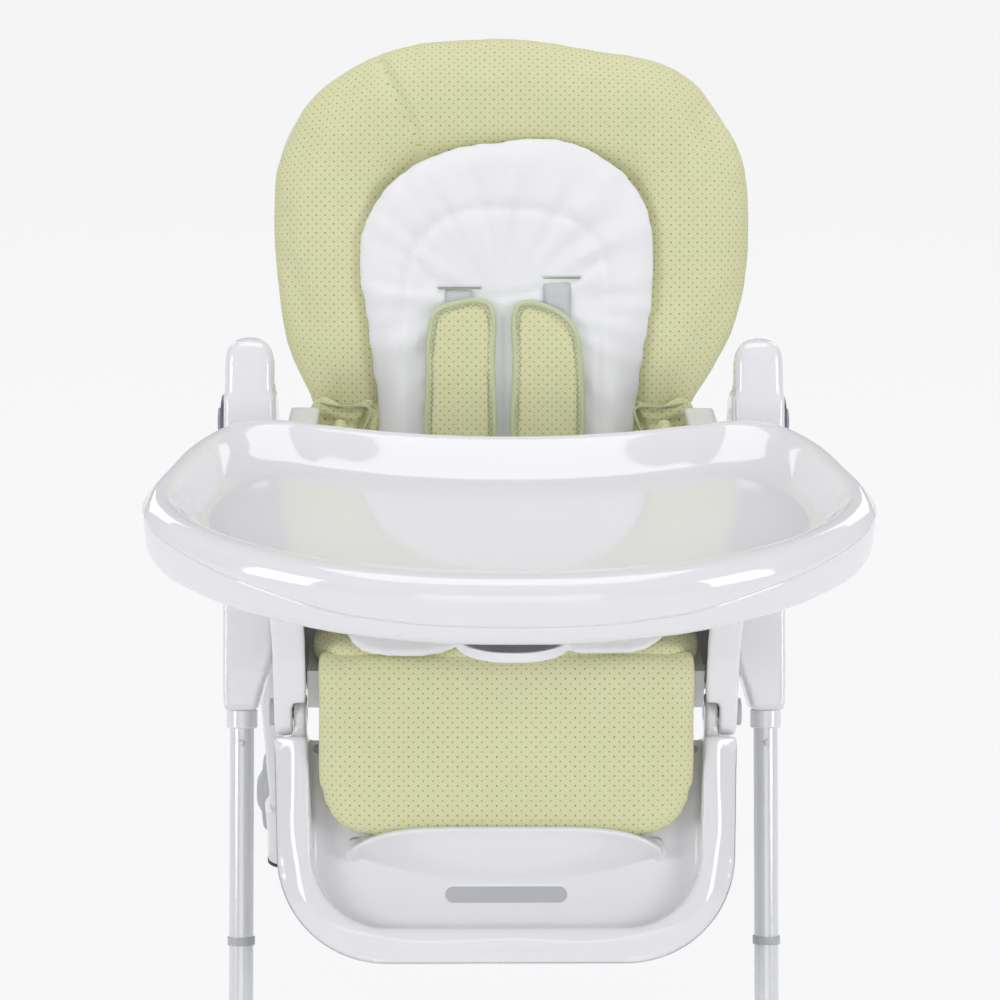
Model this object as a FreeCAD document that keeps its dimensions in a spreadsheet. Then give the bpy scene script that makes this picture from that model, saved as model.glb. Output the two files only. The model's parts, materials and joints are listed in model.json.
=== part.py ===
"""Baby high chair with folding legs, height slide, recline, footrest and sliding tray.

Frame: millimetres, +Z up, the child faces -Y.  The origin is on the floor, in the middle of the
chair's outer box.  "left" is -X and "right" is +X, as seen by a person who faces the chair.
"""
import FreeCAD
import Part
import math
import os

from FreeCAD import Placement, Rotation, Vector

# ---------------------------------------------------------------- driving dimensions, mm and degrees
DIMENSIONS = {
    "tube_dia": 22.0, "tube_wall": 1.5, "tube_gap": 0.1, "leg_offset": 238.0,
    "leg_top_y": 20.0, "leg_top_z": 665.0, "leg_lean": 22.5,
    "front_tube_length": 505.0, "base_start": 500.0, "base_drop": 199.2, "base_corner": 60.0,
    "housing_inner": 210.0, "housing_outer": 254.0, "groove_floor": 223.2, "groove_half": 9.0,
    "slider_half": 8.7, "slider_length": 60.0, "slide_centre": -129.9, "slide_travel": 95.0,
    "pivot_y": 41.0, "pivot_z": 627.0, "rear_lean": 26.67, "rear_tube_length": 619.0,
    "pin_dia": 8.0, "pin_bore_dia": 8.1, "hub_inner": 227.0, "hub_outer": 249.0, "ear_dia": 60.0,
    "cap_dia": 56.0, "cap_height": 6.0, "button_dia": 25.0, "button_hole_dia": 26.0,
    "cross_tube_dia": 18.0, "cross_tube_half": 224.5, "cross_tube_drop": 640.0,
    "rear_foot_y": 349.0, "sole_thick": 4.0,
    "wheel_y": 410.0, "wheel_z": 56.0, "wheel_dia": 90.0, "wheel_inner": 242.0, "wheel_width": 22.0,
    "side_inner": 174.0, "side_outer": 203.0, "cavity_outer": 198.5, "armrest_z": 617.0,
    "pan_half": 173.8, "pan_front": -160.0, "pan_back": 104.0, "pan_top": 465.0, "pan_depth": 35.0,
    "skin": 3.5, "back_y": 120.0, "back_z": 455.0, "back_lean": 18.0, "shell_depth": 16.0,
    "back_cushion_depth": 45.0, "insert_depth": 13.5,
    "foot_y": -152.0, "foot_z": 422.0, "foot_lean": 35.0, "foot_half": 203.0, "foot_length": 219.0,
    "foot_corner": 95.0, "foot_rim": 29.0, "foot_front": 16.0, "foot_back": 12.0,
    "eye_inner": 175.0, "eye_outer": 186.0, "knuckle_inner": 187.0,
    "tray_rim_z": 665.0, "tray_base_z": 606.0, "tray_rail_z": 599.0, "deck_z": 628.0,
    "tray_skin": 3.0, "recess_z": 637.0, "parting_front_z": 632.0, "parting_side_z": 653.0,
    "cushion_half": 168.0, "cushion_top": 495.0, "strap_thick": 2.0,
}

doc = FreeCAD.newDocument("high_chair")
sheet = doc.addObject("Spreadsheet::Sheet", "dims")
for row, (alias, size) in enumerate(DIMENSIONS.items(), start=1):
    sheet.set(f"A{row}", alias)
    sheet.set(f"B{row}", str(size))
    sheet.setAlias(f"B{row}", alias)
doc.recompute()


def dim(alias):
    """Read one driving dimension back from the sheet."""
    return float(sheet.get(alias))


X_AXIS = Vector(1, 0, 0)
SIDE_VIEW = Rotation(Vector(1, 1, 1), 120)      # sketch (u, v) lies in (Y, Z), its normal is +X
FRONT_VIEW = Rotation(X_AXIS, 90)               # sketch (u, v) lies in (X, Z), its normal is -Y
ALONG_X = Rotation(Vector(0, 1, 0), 90)         # a cylinder's height runs along +X
ALONG_Y = Rotation(X_AXIS, -90)                 # a cylinder's height runs along +Y
SIDES = {"left": -1, "right": 1}

WORLD = Placement()
LEG = Placement(Vector(0, dim("leg_top_y"), dim("leg_top_z")), Rotation(X_AXIS, -dim("leg_lean")))
REAR = Placement(Vector(0, dim("pivot_y"), dim("pivot_z")), Rotation(X_AXIS, dim("rear_lean")))
BACK = Placement(Vector(0, dim("back_y"), dim("back_z")), Rotation(X_AXIS, -dim("back_lean")))
FOOT = Placement(Vector(0, dim("foot_y"), dim("foot_z")), Rotation(X_AXIS, -dim("foot_lean")))

subparts = {}


# ---------------------------------------------------------------- helpers
def at(frame, x=0.0, y=0.0, z=0.0, turn=Rotation()):
    """A place given in one of the leaning frames above."""
    return frame.multiply(Placement(Vector(x, y, z), turn))


def bind(item, **expressions):
    """Bind the item's sizes to the sheet."""
    for size, expression in expressions.items():
        item.setExpression(size, str(expression))
    return item


def keep(node, item):
    """Name a finished sub-part: its label is its file name."""
    item.Label = node
    subparts[node] = item


def cylinder(radius, height, place):
    item = doc.addObject("Part::Cylinder", "cylinder")
    item.Placement = place
    return bind(item, Radius=radius, Height=height)


def cone(radius_start, radius_end, height, place):
    item = doc.addObject("Part::Cone", "cone")
    item.Placement = place
    return bind(item, Radius1=radius_start, Radius2=radius_end, Height=height)


def box(length, width, height, place):
    item = doc.addObject("Part::Box", "box")
    item.Placement = place
    return bind(item, Length=length, Width=width, Height=height)


def fuse(*items):
    item = doc.addObject("Part::MultiFuse", "fuse")
    item.Shapes = list(items)
    item.Refine = True
    return item


def group(*items):
    """Separate solids that share one node."""
    item = doc.addObject("Part::Compound", "group")
    item.Links = list(items)
    return item


def cut(base, *tools):
    item = doc.addObject("Part::Cut", "cut")
    item.Base = base
    item.Tool = tools[0] if len(tools) == 1 else fuse(*tools)
    return item


def common(base, tool):
    item = doc.addObject("Part::Common", "common")
    item.Base = base
    item.Tool = tool
    return item


def rounded_path(corners, close=True):
    """Lines and tangent arcs through (u, v, radius) corners."""
    points = [Vector(u, v, 0) for u, v, _ in corners]
    arcs, entries, exits = [], [], []
    for i, (_, _, radius) in enumerate(corners):
        here = points[i]
        end_point = not close and i in (0, len(corners) - 1)
        if radius == 0 or end_point:
            arcs.append(None)
            entries.append(here)
            exits.append(here)
            continue
        to_before = (points[i - 1] - here).normalize()
        to_after = (points[(i + 1) % len(corners)] - here).normalize()
        half_angle = to_before.getAngle(to_after) / 2
        reach = radius / math.tan(half_angle)
        bisector = (to_before + to_after).normalize()
        centre = here + bisector * (radius / math.sin(half_angle))
        entries.append(here + to_before * reach)
        exits.append(here + to_after * reach)
        arcs.append(Part.Arc(entries[i], centre - bisector * radius, exits[i]))
    path = []
    for i, arc in enumerate(arcs):
        if arc is not None:
            path.append(arc)
        following = (i + 1) % len(corners)
        if not close and following == 0:
            continue
        if (exits[i] - entries[following]).Length > 1e-6:
            path.append(Part.LineSegment(exits[i], entries[following]))
    return path


def sketch(corners, place, close=True):
    item = doc.addObject("Sketcher::SketchObject", "outline")
    item.addGeometry(rounded_path(corners, close))
    item.Placement = place
    return item


def extrude(profile, length):
    """Extrude a sketch or face object along its own normal."""
    item = doc.addObject("Part::Extrusion", "extrusion")
    item.Base = profile
    item.DirMode = "Normal"
    item.Solid = True
    return bind(item, LengthFwd=length)


def side_plate(corners, start, length, frame=WORLD):
    """A side-view outline (Y, Z) made solid from x = start to start + length."""
    return extrude(sketch(corners, at(frame, x=start, turn=SIDE_VIEW)), length)


def front_plate(corners, front, depth, frame=WORLD):
    """A front-view outline (X, Z) made solid from y = front to front + depth."""
    return extrude(sketch(corners, at(frame, y=front + depth, turn=FRONT_VIEW)), depth)


def span(side, near, far):
    """The lower x of a slab whose distance from the middle runs from near to far."""
    return near if side > 0 else -far


def rod_x(radius, near, far, side, frame, y=0.0, z=0.0):
    """A round bar along X, between two distances from the middle."""
    return cylinder(radius, far - near, at(frame, span(side, near, far), y, z, ALONG_X))


def slab(side, near, far, y0, y1, z0, z1, frame=WORLD):
    return box(far - near, y1 - y0, z1 - z0, at(frame, span(side, near, far), y0, z0))


def block(x0, x1, y0, y1, z0, z1, frame=WORLD):
    return box(x1 - x0, y1 - y0, z1 - z0, at(frame, x0, y0, z0))


def tube(outer_dia, inner_dia, length, place):
    return cut(cylinder(f"({outer_dia}) / 2", length, place), cylinder(f"({inner_dia}) / 2", length, place))


def turned_body(name, corners, place):
    """A PartDesign body turned about its own vertical axis from a (radius, height) outline."""
    body = doc.addObject("PartDesign::Body", name)
    profile = body.newObject("Sketcher::SketchObject", name + "_profile")
    plane = next(item for item in body.Origin.OriginFeatures if item.Role == "XZ_Plane")
    profile.AttachmentSupport = [(plane, "")]
    profile.MapMode = "FlatFace"
    profile.addGeometry(rounded_path(corners))
    profile.recompute()
    turned = body.newObject("PartDesign::Revolution", name + "_turned")
    turned.Profile = profile
    turned.ReferenceAxis = (profile, ["V_Axis"])
    turned.Angle = 360
    body.Placement = place
    return body


def cup_button(side, near, far, floor, outer_radius, frame, y=0.0, z=0.0):
    """A hollow push button: open towards the middle, with its spring inside."""
    return cut(rod_x(outer_radius, near, far, side, frame, y, z),
               rod_x(outer_radius - 3, near, floor, side, frame, y, z))


def spring(side, near, far, radius, frame, y=0.0, z=0.0):
    """A coil spring at its pressed length, as a plain sleeve."""
    return cut(rod_x(radius, near, far, side, frame, y, z),
               rod_x(radius - 1.3, near, far, side, frame, y, z))


TUBE = "dims.tube_dia"
BORE = "dims.tube_dia - 2 * dims.tube_wall"
SOCKET = dim("tube_dia") / 2 + dim("tube_gap")
PIN = dim("pin_dia") / 2
PIN_BORE = dim("pin_bore_dia") / 2


# ---------------------------------------------------------------- front frame
def front_frame():
    legs, start, drop = dim("leg_offset"), dim("base_start"), dim("base_drop")
    floor_z = -start - drop
    collars, feet = [], []
    for name, side in SIDES.items():
        place = at(LEG, side * legs, 0, -start)
        leg = tube(TUBE, BORE, "dims.front_tube_length", place)
        hole = cylinder(2.7, 8, at(LEG, side * legs, -14, -321, ALONG_Y))
        keep(f"front_leg_tube_{name}", cut(leg, hole))
        leg_housing(name, side)
        collar = [(SOCKET, 0, 0), (14, 0, 1.5), (14, 17, 1.5), (SOCKET, 17, 0)]
        collars.append(turned_body(f"collar_{name}", collar, at(LEG, side * legs, 0, -308.2)))
        feet.append(front_foot(side, floor_z))
    keep("leg_collars", group(*collars))
    keep("front_feet", group(*feet))
    keep("fold_caps", group(*[fold_cap(side) for side in SIDES.values()]))

    path = sketch([(-legs, -start, 0), (-legs, floor_z, dim("base_corner")),
                   (legs, floor_z, dim("base_corner")), (legs, -start, 0)],
                  at(LEG, turn=FRONT_VIEW), close=False)
    runs = [pipe(path, radius, at(LEG, -legs, 0, -start)) for radius in (TUBE + " / 2", 9.0)]
    spigots = [cylinder(9.4, 60, at(LEG, side * legs, 0, -start - 20)) for side in SIDES.values()]
    bores = [cylinder(7.9, 60, at(LEG, side * legs, 0, -start - 20)) for side in SIDES.values()]
    keep("front_base_tube", cut(fuse(runs[0], *spigots), fuse(runs[1], *bores)))

    rings = [tube(24.8, "dims.tube_dia + 2 * dims.tube_gap", 7, at(LEG, side * legs, 0, -start - 3.5))
             for side in SIDES.values()]
    keep("leg_ferrules", group(*rings))
    snaps = [cylinder(2.5, 4.5, at(LEG, side * legs, -12.6, -321, ALONG_Y)) for side in SIDES.values()]
    keep("leg_snap_buttons", group(*snaps))
    pins = [rod_x(PIN, 212, 253, side, REAR) for side in SIDES.values()]
    keep("fold_pivot_pins", group(*pins))
    springs = [spring(side, 254.2, 257.6, 9, REAR) for side in SIDES.values()]
    keep("fold_lock_springs", group(*springs))


def pipe(path, radius, place):
    """A round section swept along the base tube's path."""
    section = doc.addObject("Part::Circle", "section")
    section.Placement = place
    bind(section, Radius=radius)
    item = doc.addObject("Part::Sweep", "run")
    item.Sections = [section]
    path.recompute()
    item.Spine = (path, [f"Edge{i + 1}" for i in range(len(path.Shape.Edges))])
    item.Solid = True
    return item


def leg_housing(name, side):
    """The moulded cover at the top of a leg: tube socket, height groove and the fold pivot's ears."""
    inner, outer = dim("housing_inner"), dim("housing_outer")
    pivot_y, pivot_z, ear = 33.9, -27.1, dim("ear_dia") / 2
    band = side_plate([(-20, -291, 3), (-20, 47.6, 14), (16, 47.6, 16), (16, -291, 3)],
                      span(side, inner, outer), "dims.housing_outer - dims.housing_inner", LEG)
    ears = rod_x(ear, inner, outer, side, LEG, pivot_y, pivot_z)
    front_view = front_plate([(side * inner, -243, 6), (side * inner, 48.5, 21.5), (side * outer, 48.5, 21.5),
                              (side * outer, -270, 8), (side * 252.5, -292, 0), (side * 224, -292, 0)],
                             -30, 110, LEG)
    body = common(fuse(band, ears), front_view)
    groove_length = dim("slider_length") + 2 * dim("slide_travel") + 8
    groove_low = dim("slide_centre") - groove_length / 2
    half = dim("groove_half")
    groove = slab(side, inner - 1, dim("groove_floor"), -half, half, groove_low, groove_low + groove_length, LEG)
    socket = cylinder(SOCKET, 297.2, at(LEG, side * dim("leg_offset"), 0, -292))
    slot_inner, slot_outer = dim("hub_inner") - 0.5, dim("hub_outer") + 0.5
    knuckle_room = rod_x(18.7, slot_inner, slot_outer, side, LEG, pivot_y, pivot_z)
    neck_room = slab(side, slot_inner, slot_outer, 22, 72, -60, 6, LEG)
    pin_hole = rod_x(PIN_BORE, 211.8, 255, side, REAR)
    keep(f"leg_housing_{name}", cut(body, groove, socket, knuckle_room, neck_room, pin_hole))


def front_foot(side, floor_z):
    """A clamp under the base tube."""
    centre = at(LEG, 0, 0, floor_z).Base
    outline = [(centre.y - 20, 3, 2), (centre.y - 20, 18, 8), (centre.y - 12, 31.5, 8),
               (centre.y + 12, 31.5, 8), (centre.y + 20, 18, 8), (centre.y + 20, 3, 2)]
    clamp = side_plate(outline, span(side, 118, 172), 54)
    bore = rod_x(SOCKET, 117, 173, side, WORLD, centre.y, centre.z)
    return cut(clamp, bore)


def front_foot_pads():
    y = at(LEG, 0, 0, -dim("base_start") - dim("base_drop")).Base.y
    keep("front_foot_pads", group(*[slab(side, 121, 169, y - 18, y + 18, 0, 3) for side in SIDES.values()]))


def fold_cap(side):
    """The dark disc over the fold pivot, with a hole for its button."""
    turn = ALONG_X if side > 0 else Rotation(Vector(0, 1, 0), -90)
    place = at(REAR, side * dim("housing_outer"), 0, 0, turn)
    disc = cone("dims.cap_dia / 2", "dims.cap_dia / 2 - 4", "dims.cap_height", place)
    return cut(disc, cylinder("dims.button_hole_dia / 2", "dims.cap_height", place))


def fold_buttons():
    for name, side in SIDES.items():
        keep(f"fold_button_{name}", cup_button(side, 257.7, 263.5, 261, dim("button_dia") / 2, REAR))


# ---------------------------------------------------------------- rear frame
def rear_frame():
    legs, near, far = dim("leg_offset"), dim("hub_inner"), dim("hub_outer")
    drop = dim("cross_tube_drop")
    wheel_y, wheel_z, foot_y, sole = dim("wheel_y"), dim("wheel_z"), dim("rear_foot_y"), dim("sole_thick")
    for name, side in SIDES.items():
        knuckle = rod_x(18, near, far, side, REAR)
        neck = slab(side, near, far, -10, 10, -45, 0, REAR)
        sleeve = cylinder(14, 62, at(REAR, side * legs, 0, -102))
        hub = fuse(knuckle, neck, sleeve)
        socket = cylinder(SOCKET, 51, at(REAR, side * legs, 0, -103))
        keep(f"rear_leg_hub_{name}", cut(hub, socket, rod_x(PIN_BORE, near - 1, far + 1, side, REAR)))
        place = at(REAR, side * legs, 0, -52.2 - dim("rear_tube_length"))
        keep(f"rear_leg_tube_{name}", tube(TUBE, BORE, "dims.rear_tube_length", place))

        boot = cylinder(17, 110, at(REAR, side * legs, 0, -710))
        above_sole = slab(side, 200, 280, 250, 470, sole, 120)
        cup = cylinder(18.5, 30, at(WORLD, side * legs, foot_y, sole))
        arm = side_plate([(318, 38, 4), (wheel_y + 13, wheel_z - 13, 12.9), (wheel_y + 13, wheel_z + 13, 12.9),
                          (318, 76, 4)], span(side, 224, 240), 16)
        cross_socket = rod_x(13, 206, 238, side, REAR, 0, -drop)
        foot = fuse(common(boot, above_sole), cup, arm, cross_socket)
        bores = [cylinder(SOCKET, 73, at(REAR, side * legs, 0, -672)),
                 rod_x(dim("cross_tube_dia") / 2 + 0.1, 205, 225, side, REAR, 0, -drop),
                 rod_x(PIN_BORE, 223, 241, side, WORLD, wheel_y, wheel_z)]
        keep(f"rear_foot_{name}", cut(foot, *bores))

    half = dim("cross_tube_half")
    cross_place = at(REAR, -half, 0, -drop, ALONG_X)
    keep("rear_cross_tube", tube("dims.cross_tube_dia", "dims.cross_tube_dia - 3", 2 * half, cross_place))
    keep("rear_foot_soles", group(*[cylinder(19, sole, at(WORLD, side * legs, foot_y, 0))
                                    for side in SIDES.values()]))
    keep("wheel_axles", group(*[rod_x(PIN, 225, 267, side, WORLD, wheel_y, wheel_z)
                                for side in SIDES.values()]))


def wheels():
    rim, width = dim("wheel_dia") / 2, dim("wheel_width")
    outline = [(PIN_BORE, 0, 0), (rim, 0, 6), (rim, width, 6), (28, width, 3), (15, width + 7.5, 12),
               (0, width + 8, 0), (0, width + 4, 0), (PIN_BORE, width + 4, 0)]
    for name, side in SIDES.items():
        turn = ALONG_X if side > 0 else Rotation(Vector(0, 1, 0), -90)
        place = Placement(Vector(side * dim("wheel_inner"), dim("wheel_y"), dim("wheel_z")), turn)
        keep(f"wheel_{name}", turned_body(f"turned_wheel_{name}", outline, place))


# ---------------------------------------------------------------- seat
HEIGHT_BUTTON = (-95.0, 568.0)


def seat_side(side):
    """One cheek: armrest, height slider's base, backrest hinge and the footrest's knuckle."""
    inner, outer, top = dim("side_inner"), dim("side_outer"), dim("armrest_z")
    foot_y, foot_z, back_y, back_z = dim("foot_y"), dim("foot_z"), dim("back_y"), dim("back_z")
    outline = [(-205, top, 12), (118, top, 10), (150, 562, 30), (150, 442, 18), (120, 426, 30),
               (-118, 434, 12), (foot_y + 21, foot_z + 6, 6), (foot_y + 21, foot_z - 21, 20.5),
               (foot_y - 21, foot_z - 21, 20.5), (foot_y - 21, 482, 30), (-205, 570, 40)]
    cheek = side_plate(outline, span(side, inner, outer), "dims.side_outer - dims.side_inner")
    hollow_outline = [(-194, 588, 6), (116, 588, 6), (145, 552, 20), (145, 450, 14), (116, 434, 10),
                      (-106, 440, 6), (-124, 456, 4), (-166, 456, 4), (-168, 500, 10), (-194, 570, 20)]
    hollow = side_plate(hollow_outline, span(side, inner, dim("cavity_outer")),
                        "dims.cavity_outer - dims.side_inner")
    bosses = [rod_x(17, 186, 199, side, WORLD, *HEIGHT_BUTTON), rod_x(13, inner, 199, side, WORLD, back_y, back_z)]
    groove = slab(side, 199.3, 204, -210, -68, 599.5, 606.5)
    eye_room = rod_x(26.5, inner - 1, dim("knuckle_inner"), side, WORLD, foot_y, foot_z)
    recesses = [rod_x(13, 189, 204, side, WORLD, *HEIGHT_BUTTON),
                rod_x(12.5, 197, 204, side, WORLD, foot_y, foot_z),
                rod_x(PIN_BORE, 180, 197, side, WORLD, foot_y, foot_z),
                rod_x(PIN_BORE, inner - 1, 190, side, WORLD, back_y, back_z)]
    return cut(cheek, cut(hollow, *bosses), groove, eye_room, *recesses)


def seat_frame():
    for name, side in SIDES.items():
        keep(f"seat_side_{name}", seat_side(side))
    low = dim("slide_centre") - dim("slider_length") / 2
    half = dim("slider_half")
    keep("height_sliders", group(*[slab(side, dim("side_outer"), 222.8, -half, half, low,
                                        low + dim("slider_length"), LEG) for side in SIDES.values()]))

    wide, front, back, top, depth = (dim("pan_half"), dim("pan_front"), dim("pan_back"), dim("pan_top"),
                                     dim("pan_depth"))
    skin = dim("skin")
    shell = box("2 * dims.pan_half", "dims.pan_back - dims.pan_front", "dims.pan_depth",
                at(WORLD, -wide, front, top - depth))
    underside = block(-wide + skin, wide - skin, front + skin, back - skin, top - depth - 1, top - skin)
    ribs = [block(-wide + 1, wide - 1, y, y + 3, top - depth + 6, top - 1) for y in (-75, 15)]
    keep("seat_pan", fuse(cut(shell, underside), *ribs))

    pins = [rod_x(PIN, 175.5, 196.8, side, FOOT) for side in SIDES.values()]
    pins += [rod_x(PIN, 152, 189.8, side, BACK) for side in SIDES.values()]
    keep("hinge_pins", group(*pins))
    springs = [spring(side, 189.2, 200, 9, WORLD, *HEIGHT_BUTTON) for side in SIDES.values()]
    springs += [spring(side, 197.1, 201.4, 8, FOOT) for side in SIDES.values()]
    keep("lock_springs", group(*springs))


def seat_buttons():
    for name, side in SIDES.items():
        keep(f"height_button_{name}", cup_button(side, 200.5, 208.5, 205, 12.5, WORLD, *HEIGHT_BUTTON))
        keep(f"footrest_button_{name}", cup_button(side, 200.5, 207.5, 205, 12, FOOT))


def seat_softs():
    wide, top, bottom = dim("cushion_half"), dim("cushion_top"), dim("pan_top") + 0.2
    plan = [(-wide, -168, 28), (wide, -168, 28), (wide, 72, 12), (-wide, 72, 12)]
    keep("seat_cushion", extrude(sketch(plan, at(WORLD, z=bottom)), top - bottom))
    outline = [(-150, top + 0.5, 10), (80, top + 0.5, 6), (116, 610, 8), (-40, 610, 12), (-52, 595, 6),
               (-150, 595, 16)]
    for name, side in SIDES.items():
        keep(f"seat_bolster_{name}", side_plate(outline, span(side, 142, 167), 25))
    insert = [(-140, -166, 30), (-25, -172, 30), (0, -150, 20), (25, -172, 30), (140, -166, 30),
              (125, 62, 20), (-125, 62, 20)]
    keep("insert_seat_pad", extrude(sketch(insert, at(WORLD, z=top + 0.3)), 14))

    thick, front = dim("strap_thick"), -50.0
    keep("crotch_strap", block(-19, 19, -45, -45 + thick, top + 14.5, 541))
    bands = [extrude(sketch([(side * 28.2, -48, 0), (side * 28.2, -45.6, 0), (side * 135, 64, 0),
                             (side * 135, 61.6, 0)], at(WORLD, z=545)), 25) for side in SIDES.values()]
    keep("waist_straps", group(*bands))
    shell = front_plate([(-28, 541.2, 8), (28, 541.2, 8), (28, 590, 14), (-28, 590, 14)], front - 2, 16)
    keep("harness_buckle", cut(shell, cylinder(10, 5, at(WORLD, 0, front - 3, 566, ALONG_Y))))
    keep("buckle_button", cylinder(9.6, 4.5, at(WORLD, 0, front - 4.7, 566, ALONG_Y)))


# ---------------------------------------------------------------- backrest
def egg_face(half_outline, foot_half, foot_z, place):
    """A face whose round top is a spline through one half's points, mirrored, on a straight foot."""
    right = [Vector(x, z, 0) for x, z in reversed(half_outline)]
    left = [Vector(-x, z, 0) for x, z in half_outline if x > 0]
    curve = Part.BSplineCurve()
    curve.interpolate(Points=right + left, InitialTangent=Vector(0, 40, 0), FinalTangent=Vector(0, -40, 0))
    low_right, low_left = Vector(foot_half, foot_z, 0), Vector(-foot_half, foot_z, 0)
    edges = [curve.toShape(), Part.makeLine(left[-1], low_left), Part.makeLine(low_left, low_right),
             Part.makeLine(low_right, right[0])]
    item = doc.addObject("Part::Feature", "egg")
    item.Shape = Part.Face(Part.Wire(edges))
    item.Placement = place
    return item


def back_outline(inset):
    """The halo outline of the backrest, top centre first."""
    points = [(0, 503), (98, 497), (165, 472), (212, 425), (228, 365), (226, 300), (215, 245), (200, 205),
              (184, 176), (170, 140)]
    centre_z = 330.0
    return [(x - inset * (x / 228), z - inset * (z - centre_z) / 173) for x, z in points]


def backrest():
    depth, skin = dim("shell_depth"), dim("skin")
    shell = extrude(egg_face(back_outline(8), 168, 14, at(BACK, y=depth, turn=FRONT_VIEW)), "dims.shell_depth")
    hollow = extrude(egg_face(back_outline(12), 164, 18, at(BACK, y=depth + 1, turn=FRONT_VIEW)),
                     "dims.shell_depth - dims.skin + 1")
    spine = block(-30, 30, skin - 1, depth, 60, 400, BACK)
    rod_room = block(-6, 6, skin, depth + 1, 59, 401, BACK)
    ears = []
    for side in SIDES.values():
        ears += [rod_x(12, 153, 168, side, BACK), slab(side, 153, 168, 0, depth, 0, 30, BACK)]
    bores = [rod_x(PIN_BORE, 150, 172, side, BACK) for side in SIDES.values()]
    slots = [slab(side, 32, 70, -1, skin + 1, 276, 284, BACK) for side in SIDES.values()]
    body = fuse(cut(shell, hollow), cut(spine, rod_room), *ears)
    keep("backrest_shell", cut(body, *bores, *slots))

    cushion_depth, insert = dim("back_cushion_depth"), dim("insert_depth")
    cushion = egg_face(back_outline(0), 168, 16, at(BACK, y=-0.4, turn=FRONT_VIEW))
    keep("back_cushion", extrude(cushion, "dims.back_cushion_depth"))
    front = -0.6 - cushion_depth
    pad = [(0, 411), (60, 397), (112, 363), (140, 318), (144, 270), (132, 190), (124, 125)]
    keep("insert_back_pad", extrude(egg_face(pad, 112, 30, at(BACK, y=front, turn=FRONT_VIEW)),
                                    "dims.insert_depth"))
    strap_front = front - insert - 0.3
    straps = [slab(side, 36, 66, strap_front - dim("strap_thick"), strap_front, 26, 278, BACK)
              for side in SIDES.values()]
    keep("shoulder_straps", group(*straps))
    pad_back = strap_front - dim("strap_thick") - 0.3
    for name, side in SIDES.items():
        outline = [(side * 9, 100, 6), (side * 74, 100, 6), (side * 76, 226, 8), (side * 64, 252, 26),
                   (side * 12, 254, 6)]
        keep(f"shoulder_pad_{name}", front_plate(outline, pad_back - 13, 13, BACK))


def recline_handle():
    """A squeeze handle behind the shell, with the rod that lifts the recline lock."""
    depth = dim("shell_depth")
    grip = front_plate([(-58, 404, 12), (58, 404, 12), (58, 462, 24), (-58, 462, 24)], depth + 0.5, 20, BACK)
    finger_gap = front_plate([(-42, 414, 8), (42, 414, 8), (42, 440, 8), (-42, 440, 8)], depth, 22, BACK)
    rod = cylinder(4, 340, at(BACK, 0, 10, 66))
    link = block(-4, 4, 6, depth + 1, 402, 410, BACK)
    keep("recline_handle", fuse(cut(grip, finger_gap), rod, link))


# ---------------------------------------------------------------- footrest
def u_outline(inset, start, corner):
    """The footrest's U, open side up: height 0 is its hinge line."""
    half, length = dim("foot_half") - inset, dim("foot_length") - inset
    return [(-half, -start, 0), (half, -start, 0), (half - 8, -length, corner), (-half + 8, -length, corner)]


def footrest():
    front, back, rim = -dim("foot_front"), dim("foot_back"), dim("foot_rim")
    panel_front, corner = 7.0, dim("foot_corner")
    outer = front_plate(u_outline(0, 24, corner), front, back - front, FOOT)
    recess = front_plate(u_outline(rim, 0, corner - rim), front - 1, panel_front - front + 1, FOOT)
    rim_room = front_plate(u_outline(3.5, 28, corner - 3.5), front + 3.5, back - front, FOOT)
    core = front_plate(u_outline(rim - 3.5, 20, corner - rim + 3.5), front, back - front + 2, FOOT)
    shell = cut(outer, recess, cut(rim_room, core))
    ledge_side = side_plate([(panel_front + 1, -112, 0), (-30, -109, 5), (-31, -124, 6),
                             (panel_front + 1, -150, 0)], -137, 274, FOOT)
    ledge_front = front_plate([(-137, -105, 10), (137, -105, 10), (137, -126, 10), (78, -152, 30),
                               (-78, -152, 30), (-137, -126, 10)], -40, 60, FOOT)
    eyes, bores = [], []
    for side in SIDES.values():
        eyes += [rod_x(17, dim("eye_inner"), dim("eye_outer"), side, FOOT),
                 slab(side, dim("eye_inner"), dim("eye_outer"), -10, 10, -34, 0, FOOT)]
        bores.append(rod_x(PIN_BORE, 170, 190, side, FOOT))
    inlay_outline = [(-53, -166.5, 6.9), (53, -166.5, 6.9), (53, -152.5, 6.9), (-53, -152.5, 6.9)]
    inlay_room = front_plate(inlay_outline, panel_front - 3, 4.5, FOOT)
    keep("footrest_shell", cut(fuse(shell, common(ledge_side, ledge_front), *eyes), inlay_room, *bores))
    keep("footrest_inlay", front_plate(inlay_outline, panel_front, 1.5, FOOT))
    pad = [(-160, -17, 8), (160, -17, 8), (160, -84, 30), (134, -107, 14), (-134, -107, 14), (-160, -84, 30)]
    keep("calf_pad", front_plate(pad, -14, 18, FOOT))
    keep("footrest_strap", block(-172, 172, 4.5, 6.8, -40, -25, FOOT))


# ---------------------------------------------------------------- tray
TRAY_HALF = [(0, -446), (105, -434), (185, -402), (252, -350), (290, -292), (297, -250), (287, -180),
             (266, -104), (240, -64), (212, -53), (165, -70), (96, -92), (0, -104)]


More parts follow.
